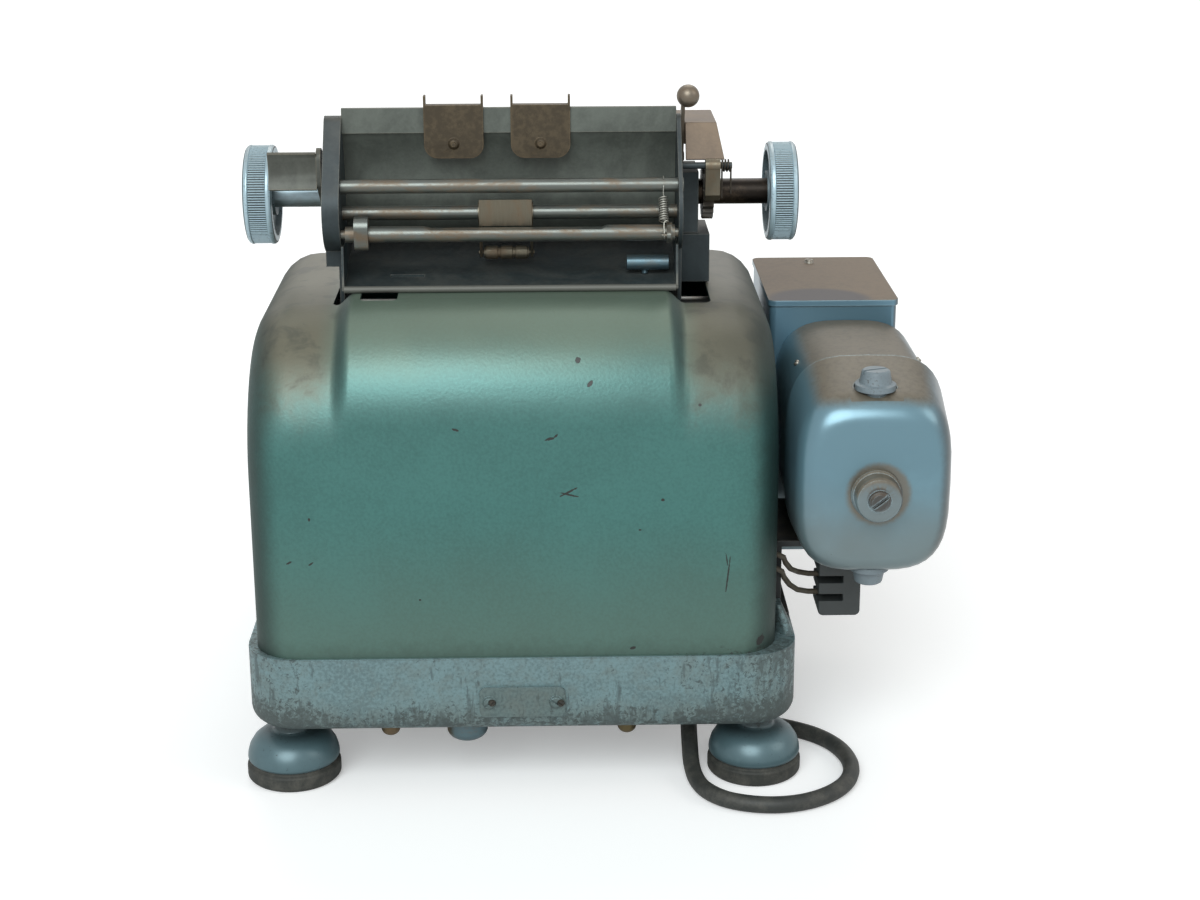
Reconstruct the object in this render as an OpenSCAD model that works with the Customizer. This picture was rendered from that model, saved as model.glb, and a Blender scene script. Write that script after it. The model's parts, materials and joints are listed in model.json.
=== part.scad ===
// Electric adding machine. +Z is up, -Y is the rear, the motor hangs on the +X side.
// Every place is worked out about the middle of the base's rear face on the table,
// and placed() moves the whole machine so that its origin is the middle of its footprint.

/* [Base and feet] */
// Width of the base casting
base_w = 242; // [238:1:250]
// Depth of the base casting, rear to front
base_d = 332; // [328:1:345]
// Height of the base casting
base_h = 35; // [30:1:38]
// Thickness of the base's floor
base_floor = 4; // [3:0.5:6]
// Plan radius of the base's corners
base_corner_r = 22; // [16:1:26]
// Radius of the base's lower edge
base_edge_r = 7; // [4:1:9]
// Height of the base's underside above the table
foot_h = 31; // [29:1:36]
// Diameter of a foot's rubber ring
foot_d = 42; // [38:1:44]
// Height of a foot's rubber ring
rubber_h = 9; // [7:0.5:11]
// Distance of a foot's centre from the base's side
foot_in_x = 17; // [15:1:22]
// Distance of a foot's centre from the base's rear or front face
foot_in_y = 25; // [22:1:30]
// Width of the blank plate on the rear
plate_w = 37.5; // [34:0.5:44]
// Height of the blank plate
plate_h = 14; // [12:0.5:18]
// Thickness of the blank plate
plate_t = 1.2; // [0.8:0.1:2]

/* [Hood] */
// How far the base reaches past the hood at each side, on average
hood_inset = 6.5; // [5.5:0.5:8]
// Shift of the hood towards the left of the base
hood_off = 2.5; // [1.5:0.5:3]
// Height of the hood's shoulders above the table
hood_top = 211; // [207:1:213]
// Wall of the hood
hood_t = 1.6; // [1:0.1:2]
// Gap between the hood and the base's rear face
hood_gap = 1.5; // [1:0.5:2.5]
// Radius of the rear wall where it turns into the top
rear_r = 52; // [48:1:56]
// Radius of the hood's side edges and corners
hood_edge_r = 20; // [16:1:22]
// How far the middle of the hood rises over its shoulders
hump_rise = 6; // [4:0.5:7.5]
// Radius of the raised middle where it turns down into the rear wall
hump_r = 47; // [42:1:52]
// Width of the raised middle
hump_w = 134; // [128:1:138]
// Width of the flank at each side of the raised middle
hump_flank = 9; // [7:1:13]
// Where the level top ends, from the rear
brow_y = 172; // [168:1:178]
// Where the keyboard deck starts, from the rear
toe_y = 186; // [184:1:190]
// Height of the deck where it starts
toe_z = 146; // [143:1:150]
// Slope of the keyboard deck in degrees
deck_angle = 21; // [19:0.5:22]

/* [Keyboard] */
// Distance between keys
key_pitch = 19; // [18:0.5:20]
// Width of a key top
key_w = 15; // [13:0.5:16]
// Height of a key top
key_h = 8; // [6:0.5:10]
// How far a key stands over the deck at rest
key_lift = 6.5; // [6:0.5:9]
// Travel of a key
key_travel = 5; // [3:0.5:5.5]
// Thickness of the keyboard plate
keyboard_t = 2; // [1.5:0.5:3]
// Width of the motor bar
motor_bar_w = 22; // [18:1:24]

/* [Carriage] */
// Distance between the carriage's end plates
carriage_w = 146; // [144:1:148]
// Middle of the carriage, from the middle of the base
carriage_x = -3.5; // [-4:0.5:-3]
// Thickness of the end plates
end_plate_t = 2; // [1.5:0.1:2.5]
// Distance of the platen's axis from the rear
platen_y = 104; // [103:0.5:105]
// Height of the platen's axis
platen_z = 250; // [249:0.5:252]
// Diameter of the platen
platen_d = 34; // [32:0.5:35]
// Diameter of the platen's shaft
shaft_d = 11.5; // [10:0.5:12]
// Diameter of the knobs
knob_d = 44.6; // [42:0.2:48]
// Thickness of the knobs
knob_w = 13; // [11:0.5:15]
// Flutes around a knob
knob_flutes = 120; // [90:1:130]
// Diameter of the carriage's rods
rod_d = 6.2; // [5.6:0.1:6.6]
// Diameter of the release shaft
release_d = 7; // [6.6:0.1:7.4]
// Width of a paper guide
guide_w = 26; // [22:1:28]
// Thickness of the carriage's sheet metal
sheet_t = 1; // [0.8:0.1:1.2]
// Wire of the tension spring
spring_wire = 0.6; // [0.5:0.05:0.7]
// Curls of the tension spring
spring_curls = 10; // [8:1:11]
// Outer diameter of the tension spring
spring_d = 4.4; // [4:0.1:5]
// Diameter of the ball on the release lever
ball_d = 10; // [8:0.5:11]

/* [Motor] */
// Width of the motor's end shield
motor_w = 70; // [67:1:73]
// Height of the motor's end shield
motor_h = 90; // [86:1:92]
// Gap between the hood and the motor
motor_gap = 4; // [3.5:0.5:8]
// Height of the motor's middle
motor_z = 146; // [144:1:148]
// How far the motor's face stands back past the base's rear
motor_out = 2; // [0:0.5:5]
// Depth of the end shield
shield_d = 39; // [36:1:42]
// Depth of the motor's rear housing
housing_d = 70; // [66:1:76]
// How far the end shield's top falls towards its face
shield_fall = 8; // [4:0.5:10]
// Diameter of the motor's shaft
armature_d = 10; // [9:0.5:11]
// Width of the gear housing
gearbox_w = 59; // [56:1:62]
// Depth of the gear housing
gearbox_d = 88; // [86:1:92]
// Height of the gear housing's top
gearbox_top = 198; // [196:1:202]
// Wall of the gear housing
gearbox_t = 2.5; // [2:0.5:3]
// Teeth of the worm wheel
wheel_teeth = 28; // [24:1:32]
// Diameter of the worm wheel
wheel_d = 56; // [52:1:58]

/* [Cord] */
// Diameter of the mains cord
cord_d = 7.5; // [7:0.1:7.6]
// Radius of the coil's outer turn
coil_r = 52; // [50:1:54]

/* [Hidden] */

$fn = 48;
eps = 0.01;
run_gap = 0.05;      // radial clearance of a running fit
slide_gap = 0.3;     // clearance of a loose guide
base_top = foot_h + base_h;
foot_x = base_w / 2 - foot_in_x;
foot_ys = [foot_in_y, base_d - foot_in_y];

// Hood
hood_x = -hood_off;
hood_w = base_w - 2 * hood_inset;
hood_half = hood_w / 2;
hood_flat = hood_half - hood_edge_r;
hood_right = hood_x + hood_half;
hump_top = hood_top + hump_rise;
brow_r = 22;
toe_r = 14;
nose_r = 10;
deck_edge_r = 8;

// Carriage
left_in = carriage_x - carriage_w / 2;
right_in = carriage_x + carriage_w / 2;
left_out = left_in - end_plate_t;
right_out = right_in + end_plate_t;
platen_r = platen_d / 2;
shaft_r = shaft_d / 2;
bush_r = shaft_r + 2.2;
bush_l = 9.5;
knob_left = left_out - 31;
knob_right = right_out + 40.5;
knob_bore = 8;
sheet_r = platen_r + 2.5;
flare_r = 45;
flare_from = 82;
flare_to = 122;
rod_1 = [62, 261.3];
rod_2 = [68, 248.4];
rod_3 = [56, 241.5];
lip = [50, hump_top + 1.5];
opening_l = -left_out + 2.5;
opening_r = right_out + 12.5;
opening_y = [52, 134];
rail_z = 194;
rail_ys = [72, 116];
rail_r = 4;
low_rail = [base_d - 92, base_top - 4];
frame_out = hood_half - 13.5;
frame_t = 3;
pawl_pin = [74, 267.3];
pawl_x = right_out + 10.7;
pawl_w = 6.6;
pin_end = right_out + 22.5;
lever_pivot = [94, 268];
ball_at = [80.5, 296.8];
arm_tip = [50, rod_3[1]];
spring_x = right_in - 6.3;
comb_y = 126;
comb_z = 182;
type_gap = 8;

// Motor and drive
motor_x = hood_right + motor_gap + motor_w / 2;
motor_y = -motor_out;
shaft_x = motor_x;
shaft_z = motor_z - 5;
armature_r = armature_d / 2;
motor_face = motor_y;
shield_back = motor_y + shield_d;
housing_w = motor_w - 3;
housing_h = motor_h - 5;
gearbox_y = shield_back + housing_d;
gearbox_l = hood_right + 3.5;
gearbox_r = gearbox_l + gearbox_w;
gearbox_back = gearbox_y + gearbox_d;
worm_r = 6.5;
worm_y = gearbox_y + 43;
worm_l = 28;
drive_r = 6;
drive_z = shaft_z - wheel_d / 2 - worm_r - 0.4;
gearbox_low = drive_z - wheel_d / 2 - gearbox_t - 1;
motor_bottom = motor_z - housing_h / 2;
bracket_t = 3;
bracket_y = [42, 100];
neck_y = [worm_y - 30, worm_y + 30];
neck_z = [drive_z - 28, drive_z + 28];
brush_y = motor_y + 13;
brush_part = (shield_back - brush_y) / shield_d;
brush_low = motor_h / 2 - 3.5;
brush_high = motor_h / 2 - 2.5 - shield_fall * brush_part;

// Cord
cord_r = cord_d / 2;
floor_z = cord_r;
exit_z = 24;
coil_pitch = cord_d + 0.8;
coil_layer = cord_d + 0.6;
coil_turns = 5.25;
coil_at = [61 - coil_r, base_d + 66];
plug_z = 8.5;
plug_lead = 34;
cord_route = [
    [75, 58, exit_z], [75, 50, exit_z], [75, 39, 19.5], [75, 27, 11.5], [75.3, 17, 6], [77, 6, floor_z],
    [81, -5, floor_z], [89, -13.5, floor_z], [100, -18, floor_z], [112, -19, floor_z],
    [124, -16, floor_z], [135, -9, floor_z], [143, 1, floor_z], [147, 13, floor_z],
    [147, 26, floor_z], [143, 39, floor_z], [135, 50, floor_z], [124, 58, floor_z],
    [112, 64, floor_z], [99, 71, floor_z], [88, 80, floor_z], [79, 92, floor_z],
    [72, 106, floor_z], [67, 122, floor_z], [64, 140, floor_z], [62, 160, floor_z],
    [61, 185, floor_z], [61, 210, floor_z], [61, 235, floor_z], [61, 260, floor_z],
    [61, 285, floor_z], [61, 310, floor_z], [61, coil_at[1] - 66, floor_z],
    [61, coil_at[1] - 54, floor_z + 0.8], [61, coil_at[1] - 40, floor_z + 3.2],
    [61, coil_at[1] - 27, floor_z + 6.6], [61, coil_at[1] - 2 * cord_d, floor_z + coil_layer],
    [61, coil_at[1] - cord_d, floor_z + coil_layer]
];

// Extents that set the origin
x_low = min(knob_left - knob_w, -foot_x - foot_d / 2);
x_high = motor_x + motor_w / 2;
cap_out = 13.2;
y_low = motor_y - cap_out;
shift = [-(x_low + x_high) / 2, -(y_low + base_d) / 2, 0];

// Colours
c_hood = "#51716a";
c_base = "#6e868c";
c_rubber = "#1e1d1c";
c_steel = "#8d8f8a";
c_dark = "#3b4242";
c_knob = "#8fb0bf";
c_brown = "#5a4c3c";
c_motor = "#7b9aa8";
c_brass = "#a3813f";
c_black = "#202224";
c_key = "#d8d2bd";
c_key_dark = "#3a4a44";

// Vectors and curves
function unit(v) = v / norm(v);
function ease(t) = t * t * (3 - 2 * t);
function clamp(t, lo = 0, hi = 1) = min(hi, max(lo, t));
function turn(v, a) = [v[0] * cos(a) - v[1] * sin(a), v[0] * sin(a) + v[1] * cos(a)];
function arc(c, r, from, to, n) = [for (i = [0:n]) c + turn([r, 0], from + (to - from) * i / n)];

// Points that round corner b, between a and c, with radius r
function rounded(a, b, c, r, n) =
    let (u = unit(a - b), v = unit(c - b), half = acos(clamp(u * v, -1, 1)) / 2,
         centre = b + unit(u + v) * r / sin(half), from = b + u * r / tan(half) - centre,
         to = b + v * r / tan(half) - centre, side = sign(cross(from, to)))
    [for (i = [0:n]) centre + turn(from, side * (180 - 2 * half) * i / n)];

// Triangles of a tube of m rings with n points each, closed at both ends
function tube_faces(m, n) = concat(
    [for (k = [1:n - 2]) [0, k + 1, k]],
    [for (i = [0:m - 2]) for (k = [0:n - 1]) [i * n + k, i * n + (k + 1) % n, (i + 1) * n + (k + 1) % n]],
    [for (i = [0:m - 2]) for (k = [0:n - 1]) [i * n + k, (i + 1) * n + (k + 1) % n, (i + 1) * n + k]],
    [for (k = [1:n - 2]) [(m - 1) * n, (m - 1) * n + k, (m - 1) * n + k + 1]]);

function tube_ring(p, t, up, r, n) =
    let (s = unit(cross(t, up)), u = cross(s, t))
    [for (k = [0:n - 1]) p + r * (cos(360 * k / n) * s + sin(360 * k / n) * u)];

// A round tube along a path; up is a direction that the path never takes
module tube(path, r, n, up = [0, 0, 1]) {
    last = len(path) - 1;
    points = [for (i = [0:last])
        each tube_ring(path[i], unit(path[min(i + 1, last)] - path[max(i - 1, 0)]), up, r, n)];
    polyhedron(points, tube_faces(last + 1, n), convexity = 6);
}

// Least distance between points of a path that lie further apart along it than skip steps
function least_gap(path, skip) =
    min([for (i = [0:len(path) - 1 - skip]) for (j = [i + skip:len(path) - 1]) norm(path[i] - path[j])]);

module placed() { translate(shift) children(); }

// A cylinder along X, from x = a to x = b, about [y, z]
module bar(at, r, a, b) { translate([a, at[0], at[1]]) rotate([0, 90, 0]) cylinder(r = r, h = b - a); }

// An outline drawn in Y and Z, from x = a to x = b
module sheet(a, b) { translate([a, 0, 0]) rotate([90, 0, 90]) linear_extrude(b - a) children(); }

// A slab from x, y, z ranges
module slab(x, y, z) { translate([x[0], y[0], z[0]]) cube([x[1] - x[0], y[1] - y[0], z[1] - z[0]]); }

// An exact rectangle with round corners
module round_rect(w, d, r) {
    square([w - 2 * r, d], center = true);
    square([w, d - 2 * r], center = true);
    for (x = [-1, 1]) for (y = [-1, 1]) translate([x * (w / 2 - r), y * (d / 2 - r)]) circle(r);
}

// Base casting: a cast tray with a rounded lower edge, a raised rear right corner and a cord slot
module base_corner() {
    rotate_extrude($fn = 32) polygon(concat([[0, 0]],
        arc([base_corner_r - base_edge_r, base_edge_r], base_edge_r, -90, 0, 5),
        [[base_corner_r, base_h], [0, base_h]]));
}
cavity_in = hood_gap + hood_t + 1;
module base_casting() {
    placed() color(c_base) difference() {
        union() {
            hull() for (x = [-1, 1]) for (y = [base_corner_r, base_d - base_corner_r])
                translate([x * (base_w / 2 - base_corner_r), y, foot_h]) base_corner();
            hull() for (y = [base_corner_r + 2, bracket_y[0] - 6]) {
                translate([base_w / 2 - 3, y, base_top - 2]) cylinder(r = 2.6, h = 2.6, $fn = 32);
                translate([hood_right + 1.9, y + (y < 30 ? 3 : -3), base_top - 2]) cylinder(r = 1.3, h = 15, $fn = 32);
            }
        }
        translate([hood_x, base_d / 2, foot_h + base_floor]) linear_extrude(base_h)
            round_rect(hood_w - 2 * (hood_t + 1), base_d - 2 * cavity_in, 14);
        for (x = [-1, 1]) translate([x * plate_screw_x, -1, plate_z]) rotate([-90, 0, 0])
            cylinder(r = screw_r + run_gap, h = 8);
        for (n = base_nut_list) translate([n[0], n[1], foot_h - 1]) cylinder(r = 2, h = base_floor + 2);
    }
}

// Nuts under the base: a domed one and two of brass, each with its stud through the floor
base_nut_list = [[-25, 16, 9, 10], [-59, 14, 4.2, 7], [46, 14, 4.2, 7]];
module base_nut(r, h) {
    rotate_extrude() polygon(concat([[0, 0]], [for (a = [0:15:75]) [r * sin(a) * 0.98, h * 0.45 * (1 - cos(a))]],
        [[r, h * 0.45], [r, h], [2 - run_gap, h], [2 - run_gap, h + base_floor + 1], [0, h + base_floor + 1]]));
}
module base_nuts() {
    placed() color(c_brass) for (n = base_nut_list)
        translate([n[0], n[1], foot_h - n[3]]) base_nut(n[2], n[3]);
}

// Feet: a pressed cup with its stem on a rubber ring
module at_feet() { for (x = [-1, 1]) for (y = foot_ys) translate([x * foot_x, y, 0]) children(); }
module foot_cups() {
    r = foot_d / 2;
    rise = foot_h - rubber_h;
    placed() color(c_base) at_feet() rotate_extrude() polygon([[0, rubber_h], [r - 1.2, rubber_h],
        [r - 0.4, rubber_h + 1.2], [r - 0.6, rubber_h + 3.4], [r - 1.5, rubber_h + rise * 0.3],
        [r - 3.4, rubber_h + rise * 0.44], [r - 6, rubber_h + rise * 0.54], [r - 9, rubber_h + rise * 0.6],
        [9, rubber_h + rise * 0.62], [8, rubber_h + rise * 0.66], [8, foot_h], [0, foot_h]]);
}
module foot_rubbers() {
    r = foot_d / 2;
    placed() color(c_rubber) at_feet() rotate_extrude() polygon([[0, 0], [r - 1.6, 0], [r, 1.6],
        [r, rubber_h - 2.2], [r - 0.6, rubber_h - 1.6], [r - 1.6, rubber_h - 1.2], [r - 1.6, rubber_h], [0, rubber_h]]);
}

// Blank plate on the base's rear, with two slotted screws
plate_z = foot_h + base_h * 0.42;
plate_screw_x = plate_w / 2 - 4.2;
screw_r = 1.3;
module rear_plate() {
    placed() color(c_base) {
        difference() {
            translate([0, 0, plate_z]) rotate([90, 0, 0]) linear_extrude(plate_t) round_rect(plate_w, plate_h, 3);
            for (x = [-1, 1]) translate([x * plate_screw_x, -plate_t - 1, plate_z]) rotate([-90, 0, 0])
                cylinder(r = screw_r + run_gap, h = plate_t + 2);
        }
        for (x = [-1, 1]) translate([x * plate_screw_x, -plate_t, plate_z]) rotate([90, x * 35, 0]) difference() {
            union() {
                cylinder(r1 = 3, r2 = 2.3, h = 1.3);
                translate([0, 0, -plate_t - 5]) cylinder(r = screw_r, h = plate_t + 5.5);
            }
            translate([-4, -0.35, 0.6]) cube([8, 0.7, 2]);
        }
    }
}

// Hood: a pressed shell, swept through its side views from the left wall to the right wall.
// Each view has the rear wall, the large rear bend, the top, the brow, the deck and the nose.
edge_steps = 6;
flank_steps = 6;
edge_turns = [for (i = [0:edge_steps - 1]) 90 - 90 * i / edge_steps];
hump_ends = [for (i = [0:flank_steps]) hump_w / 2 + hump_flank * i / flank_steps];
middle_xs = concat([-hood_flat], [for (i = [flank_steps:-1:0]) carriage_x - hood_x - hump_ends[i]],
    [-30, 0, 30], [for (i = [0:flank_steps]) carriage_x - hood_x + hump_ends[i]], [hood_flat]);
stations = concat([for (a = edge_turns) [-1, a]], [for (x = middle_xs) [x, 0]],
    [for (i = [edge_steps - 1:-1:0]) [1, edge_turns[i]]]);
function hump_at(x) = ease(clamp((hump_w / 2 + hump_flank - abs(x + hood_x - carriage_x)) / hump_flank));
function station_x(s, t) = s[1] == 0 ? s[0] : s[0] * (hood_flat + (hood_edge_r - t) * sin(s[1]));
function hood_view(s, t) =
    let (x = s[1] == 0 ? s[0] : s[0] * hood_half, in = t + (hood_edge_r - t) * (1 - cos(s[1])),
         part = hump_at(x), rise = hump_rise * part, bend = rear_r + (hump_r - rear_r) * part, y0 = hood_gap + in, y1 = base_d - hood_gap - in, top = hood_top + rise - in,
         sink = t + (deck_edge_r - t) * (1 - cos(s[1])), slope = tan(deck_angle),
         a = [y0, base_top], b = [y0, top], c = [brow_y - t, top], d = [toe_y - t, toe_z - sink],
         e = [y1, toe_z - sink - (y1 - toe_y + t) * slope], f = [y1, base_top])
    concat([a], rounded(a, b, c, bend - t, 11), rounded(b, c, d, brow_r - t, 6),
        rounded(c, d, e, toe_r + t, 5), rounded(d, e, f, nose_r - t, 5), [f]);
function hood_skin(t) = [for (s = stations)
    each [for (p = hood_view(s, t)) [hood_x + station_x(s, t), p[0], p[1]]]];
module hood_shell() {
    n = len(stations);
    m = len(hood_view(stations[0], 0));
    in = n * m;
    end = (n - 1) * m;
    cells = [for (i = [0:n - 2]) for (j = [0:m - 2]) [i * m + j, i * m + j + 1, (i + 1) * m + j + 1, (i + 1) * m + j]];
    polyhedron(concat(hood_skin(0), hood_skin(hood_t)), concat(
        [for (c = cells) [c[0], c[1], c[2]]], [for (c = cells) [c[0], c[2], c[3]]],
        [for (c = cells) [in + c[0], in + c[2], in + c[1]]], [for (c = cells) [in + c[0], in + c[3], in + c[2]]],
        [for (i = [0:n - 2]) [i * m, (i + 1) * m, in + (i + 1) * m, in + i * m]],
        [for (i = [1:n - 1]) [in + i * m - 1, in + i * m + m - 1, i * m + m - 1, i * m - 1]],
        [[for (j = [m - 1:-1:0]) j], [for (j = [0:m - 1]) in + j], [m - 1, 0, in, in + m - 1]],
        [[for (j = [0:m - 1]) end + j], [for (j = [m - 1:-1:0]) in + end + j],
            [in + end, end, end + m - 1, in + end + m - 1]]), convexity = 8);
}
// A rectangular cutter with round corners, standing on z
module window(x, y, z, r) {
    hull() for (cx = [x[0] + r, x[1] - r]) for (cy = [y[0] + r, y[1] - r])
        translate([cx, cy, z[0]]) cylinder(r = r, h = z[1] - z[0], $fn = 24);
}
module hood() {
    placed() color(c_hood) difference() {
        hood_shell();
        window([-opening_l, opening_r], opening_y, [hood_top - 30, hump_top + 5], 4);
        window([left_in + 8.5, left_in + 24.5], [40, opening_y[0] + 8], [hood_top - 30, hump_top + 5], 2);
        on_deck() window(key_field_x, key_field_v, [-12, 12], 5);
        slab([hood_right - 8, hood_right + 5], neck_y + [-2, 2], [base_top - 1, neck_z[1] + 2]);
    }
}

// Frame plates inside the hood
module frame_plates() {
    front = base_d - 32;
    outline = [[20, foot_h + base_floor], [front, foot_h + base_floor], [front, base_top + 16], [brow_y + 5, toe_z - 20],
        [brow_y - 8, hood_top - 11], [62, hood_top - 11], [22, hood_top - 46]];
    placed() color(c_steel) for (x = [-frame_out, frame_out - frame_t]) difference() {
        sheet(x, x + frame_t) polygon(outline);
        bar([worm_y, drive_z], drive_r + run_gap, x - 1, x + frame_t + 1);
        for (y = rail_ys) bar([y, rail_z], rail_r + run_gap, x - 1, x + frame_t + 1);
        bar(low_rail, rail_r + run_gap, x - 1, x + frame_t + 1);
        bar([60, 92], 15, x - 1, x + frame_t + 1);
        bar([210, 84], 14, x - 1, x + frame_t + 1);
    }
}

// Tie rods between the frame plates, and the comb that guides the type bars
module tie_rods() {
    placed() color(c_steel) {
        for (y = rail_ys) bar([y, rail_z], rail_r, -frame_out - 2, frame_out + 2);
        bar(low_rail, rail_r, -frame_out - 2, frame_out + 2);
        difference() {
            slab([-frame_out + frame_t, frame_out - frame_t], [comb_y - 5, comb_y + 9], [comb_z - 5, comb_z + 5]);
            for (i = [0:9]) translate([type_x(i), comb_y, comb_z])
                cube([type_t + 2 * slide_gap, type_d + 2 * slide_gap, 30], center = true);
        }
    }
}

// Type bars, which rise behind the ribbon to print
type_t = 2.4;
type_d = 6;
type_low = 128;
type_top = platen_z - platen_d / 2;
function type_x(i) = carriage_x + (i - 4.5) * type_gap;
module type_bars() {
    placed() color(c_steel) for (i = [0:9]) translate([type_x(i), comb_y, 0]) {
        slab([-type_t / 2, type_t / 2], [-type_d / 2, type_d / 2], [type_low, type_top]);
        for (k = [0:4]) slab([-type_t / 2, type_t / 2], [-type_d / 2 - 0.9, -type_d / 2 + eps],
            [type_top - 4 - 4 * k, type_top - 1.6 - 4 * k]);
    }
}

// Keyboard: places are measured down the deck from where it starts, and square to it
field_v = 38;
module on_deck() { translate([0, toe_y, toe_z]) rotate([-deck_angle, 0, 0]) children(); }
stem_w = 5;
stem_t = 2.4;
stem_l = 24;
key_xs = [30, 30 - key_pitch, 30 - 2 * key_pitch];
function row_v(i) = field_v + i * key_pitch;
zero_at = [(key_xs[0] + key_xs[1]) / 2, row_v(3)];
control_x = key_xs[0] + key_pitch + 7;
bar_at = [key_xs[2] - key_w / 2 - motor_bar_w / 2 - 13.5, row_v(1.5)];
bar_stem = 1.15 * key_pitch;
motor_bar_l = 3 * key_pitch + key_w;
key_field_x = [bar_at[0] - motor_bar_w / 2 - 6, control_x + key_w / 2 + 7.5];
key_field_v = [row_v(0) - key_w / 2 - 5.5, row_v(3) + key_w / 2 + 5.5];
function digit_at(n) = n == 0 ? zero_at : [key_xs[(n - 1) % 3], row_v(2 - floor((n - 1) / 3))];
key_places = concat([for (n = [0:9]) digit_at(n)], [for (i = [0:2]) [control_x, row_v(i)]]);
plate_drop = hood_t * (cos(deck_angle) + sin(deck_angle)) + 0.02;
module keyboard_plate() {
    placed() color(c_dark) on_deck() difference() {
        translate([0, 0, -plate_drop - keyboard_t])
            slab([key_field_x[0] - 7, key_field_x[1] + 7], [key_field_v[0] - 7, key_field_v[1] + 7], [0, keyboard_t]);
        for (p = key_places) translate([p[0], p[1], -plate_drop])
            cube([stem_w + 2 * slide_gap, stem_t + 2 * slide_gap, 3 * keyboard_t], center = true);
        for (s = [-1, 1]) translate([bar_at[0], bar_at[1] + s * bar_stem, -plate_drop])
            cube([stem_w + 2 * slide_gap, stem_t + 2 * slide_gap, 3 * keyboard_t], center = true);
    }
}
module key_top(w, l) {
    r = 3;
    difference() {
        hull() {
            translate([0, 0, key_lift]) linear_extrude(1.5) offset(r, $fn = 20) square([w - 2 * r, l - 2 * r], center = true);
            translate([0, 0, key_lift + key_h - 0.2]) linear_extrude(0.2) offset(r - 1, $fn = 20)
                square([w - 2 * r - 2, l - 2 * r - 2], center = true);
        }
        translate([0, 0, key_lift + key_h + 46.9]) sphere(r = 48);
    }
}
module stem() { translate([-stem_w / 2, -stem_t / 2, -stem_l]) cube([stem_w, stem_t, stem_l + key_lift + eps]); }
module key(at, w, shade) {
    placed() color(shade) on_deck() translate([at[0], at[1], 0]) {
        key_top(w, key_w);
        stem();
    }
}
module digit(n) { key(digit_at(n), n == 0 ? key_w + key_pitch : key_w, c_key); }
module control_key(i) { key([control_x, row_v(i)], key_w + 5, c_key_dark); }
module motor_bar() {
    placed() color(c_key_dark) on_deck() translate([bar_at[0], bar_at[1], 0]) {
        key_top(motor_bar_w, motor_bar_l);
        for (s = [-1, 1]) translate([0, s * bar_stem, 0]) stem();
    }
}

// Platen, its shaft, knobs and ratchet
module platen_roller() {
    placed() color(c_rubber) difference() {
        bar([platen_y, platen_z], platen_r, left_in + 3, right_in - 3);
        bar([platen_y, platen_z], shaft_r, left_in, right_in);
    }
}
module platen_shaft() {
    placed() color(c_steel) {
        bar([platen_y, platen_z], shaft_r, knob_left - knob_bore, knob_right + knob_bore);
    }
}
ratchet_x = [pawl_x + 0.5, pawl_x + 5.5];
ratchet_r = 12.5;
ratchet_teeth = 20;
module platen_ratchet() {
    placed() color(c_dark) difference() {
        sheet(ratchet_x[0], ratchet_x[1]) translate([platen_y, platen_z]) polygon([for (i = [0:ratchet_teeth - 1])
            each [turn([ratchet_r - 1.6, 0], 360 * i / ratchet_teeth), turn([ratchet_r, 0], 360 * (i + 0.2) / ratchet_teeth)]]);
        bar([platen_y, platen_z], shaft_r, ratchet_x[0] - 1, ratchet_x[1] + 1);
    }
}
// A knob with a fluted band between two plain rims and a dished inner face; z is outwards
module knob() {
    r = knob_d / 2;
    rim = 2.6;
    difference() {
        union() {
            rotate_extrude() polygon([[0, 0], [r - 1.2, 0], [r, 1], [r, rim], [r - 2, rim], [r - 2, knob_w - rim],
                [r, knob_w - rim], [r, knob_w - 1.6], [r - 1.6, knob_w], [0, knob_w]]);
            translate([0, 0, rim - 0.1]) linear_extrude(knob_w - 2 * rim + 0.2) polygon([for (i = [0:knob_flutes - 1])
                each [turn([r - 0.15, 0], 360 * (i - 0.22) / knob_flutes),
                    turn([r - 0.15, 0], 360 * (i + 0.22) / knob_flutes), turn([r - 0.65, 0], 360 * (i + 0.5) / knob_flutes)]]);
        }
        translate([0, 0, -1]) cylinder(r = shaft_r, h = knob_bore + 1);
        translate([0, 0, -eps]) difference() {
            cylinder(r = r - 4, h = 2.4);
            cylinder(r = shaft_r + 3.5, h = 2.4);
        }
    }
}
module platen_knobs() {
    placed() color(c_knob) {
        translate([knob_right, platen_y, platen_z]) rotate([0, 90, 0]) knob();
        translate([knob_left, platen_y, platen_z]) rotate([0, -90, 0]) knob();
    }
}

// End plates: a D-shaped plate with a tab that stands on the tie rods
module end_outline() {
    hull() {
        translate([platen_y + 2, platen_z]) circle(24, $fn = 32);
        translate([68, 250]) circle(18, $fn = 32);
        translate([79, 284]) circle(5.4, $fn = 32);
    }
    translate([62, rail_z - 8]) square([60, 50]);
}
module end_plate(a) {
    difference() {
        sheet(a, a + end_plate_t) end_outline();
        for (y = rail_ys) bar([y, rail_z], rail_r + run_gap, a - 1, a + end_plate_t + 1);
        for (p = [rod_1, rod_2]) bar(p, rod_d / 2 + run_gap, a - 1, a + end_plate_t + 1);
        bar(rod_3, 2 + run_gap, a - 1, a + end_plate_t + 1);
        bar([platen_y, platen_z], shaft_r + run_gap, a - 1, a + end_plate_t + 1);
    }
}
module carriage_plate_left() {
    placed() color(c_dark) {
        end_plate(left_out);
        difference() {
            sheet(left_out - 5.5, left_out) difference() {
                end_outline();
                offset(-1.6, $fn = 32) end_outline();
                translate([platen_y - 8, rail_z - 20]) square([60, 130]);
                translate([50, rail_z - 20]) square([60, 52]);
            }
        }
        difference() {
            bar([platen_y, platen_z], bush_r, left_out - bush_l, left_out + eps);
            bar([platen_y, platen_z], shaft_r + run_gap, left_out - bush_l - 1, left_out + 1);
        }
    }
}
step_z = platen_z - 16;
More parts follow.
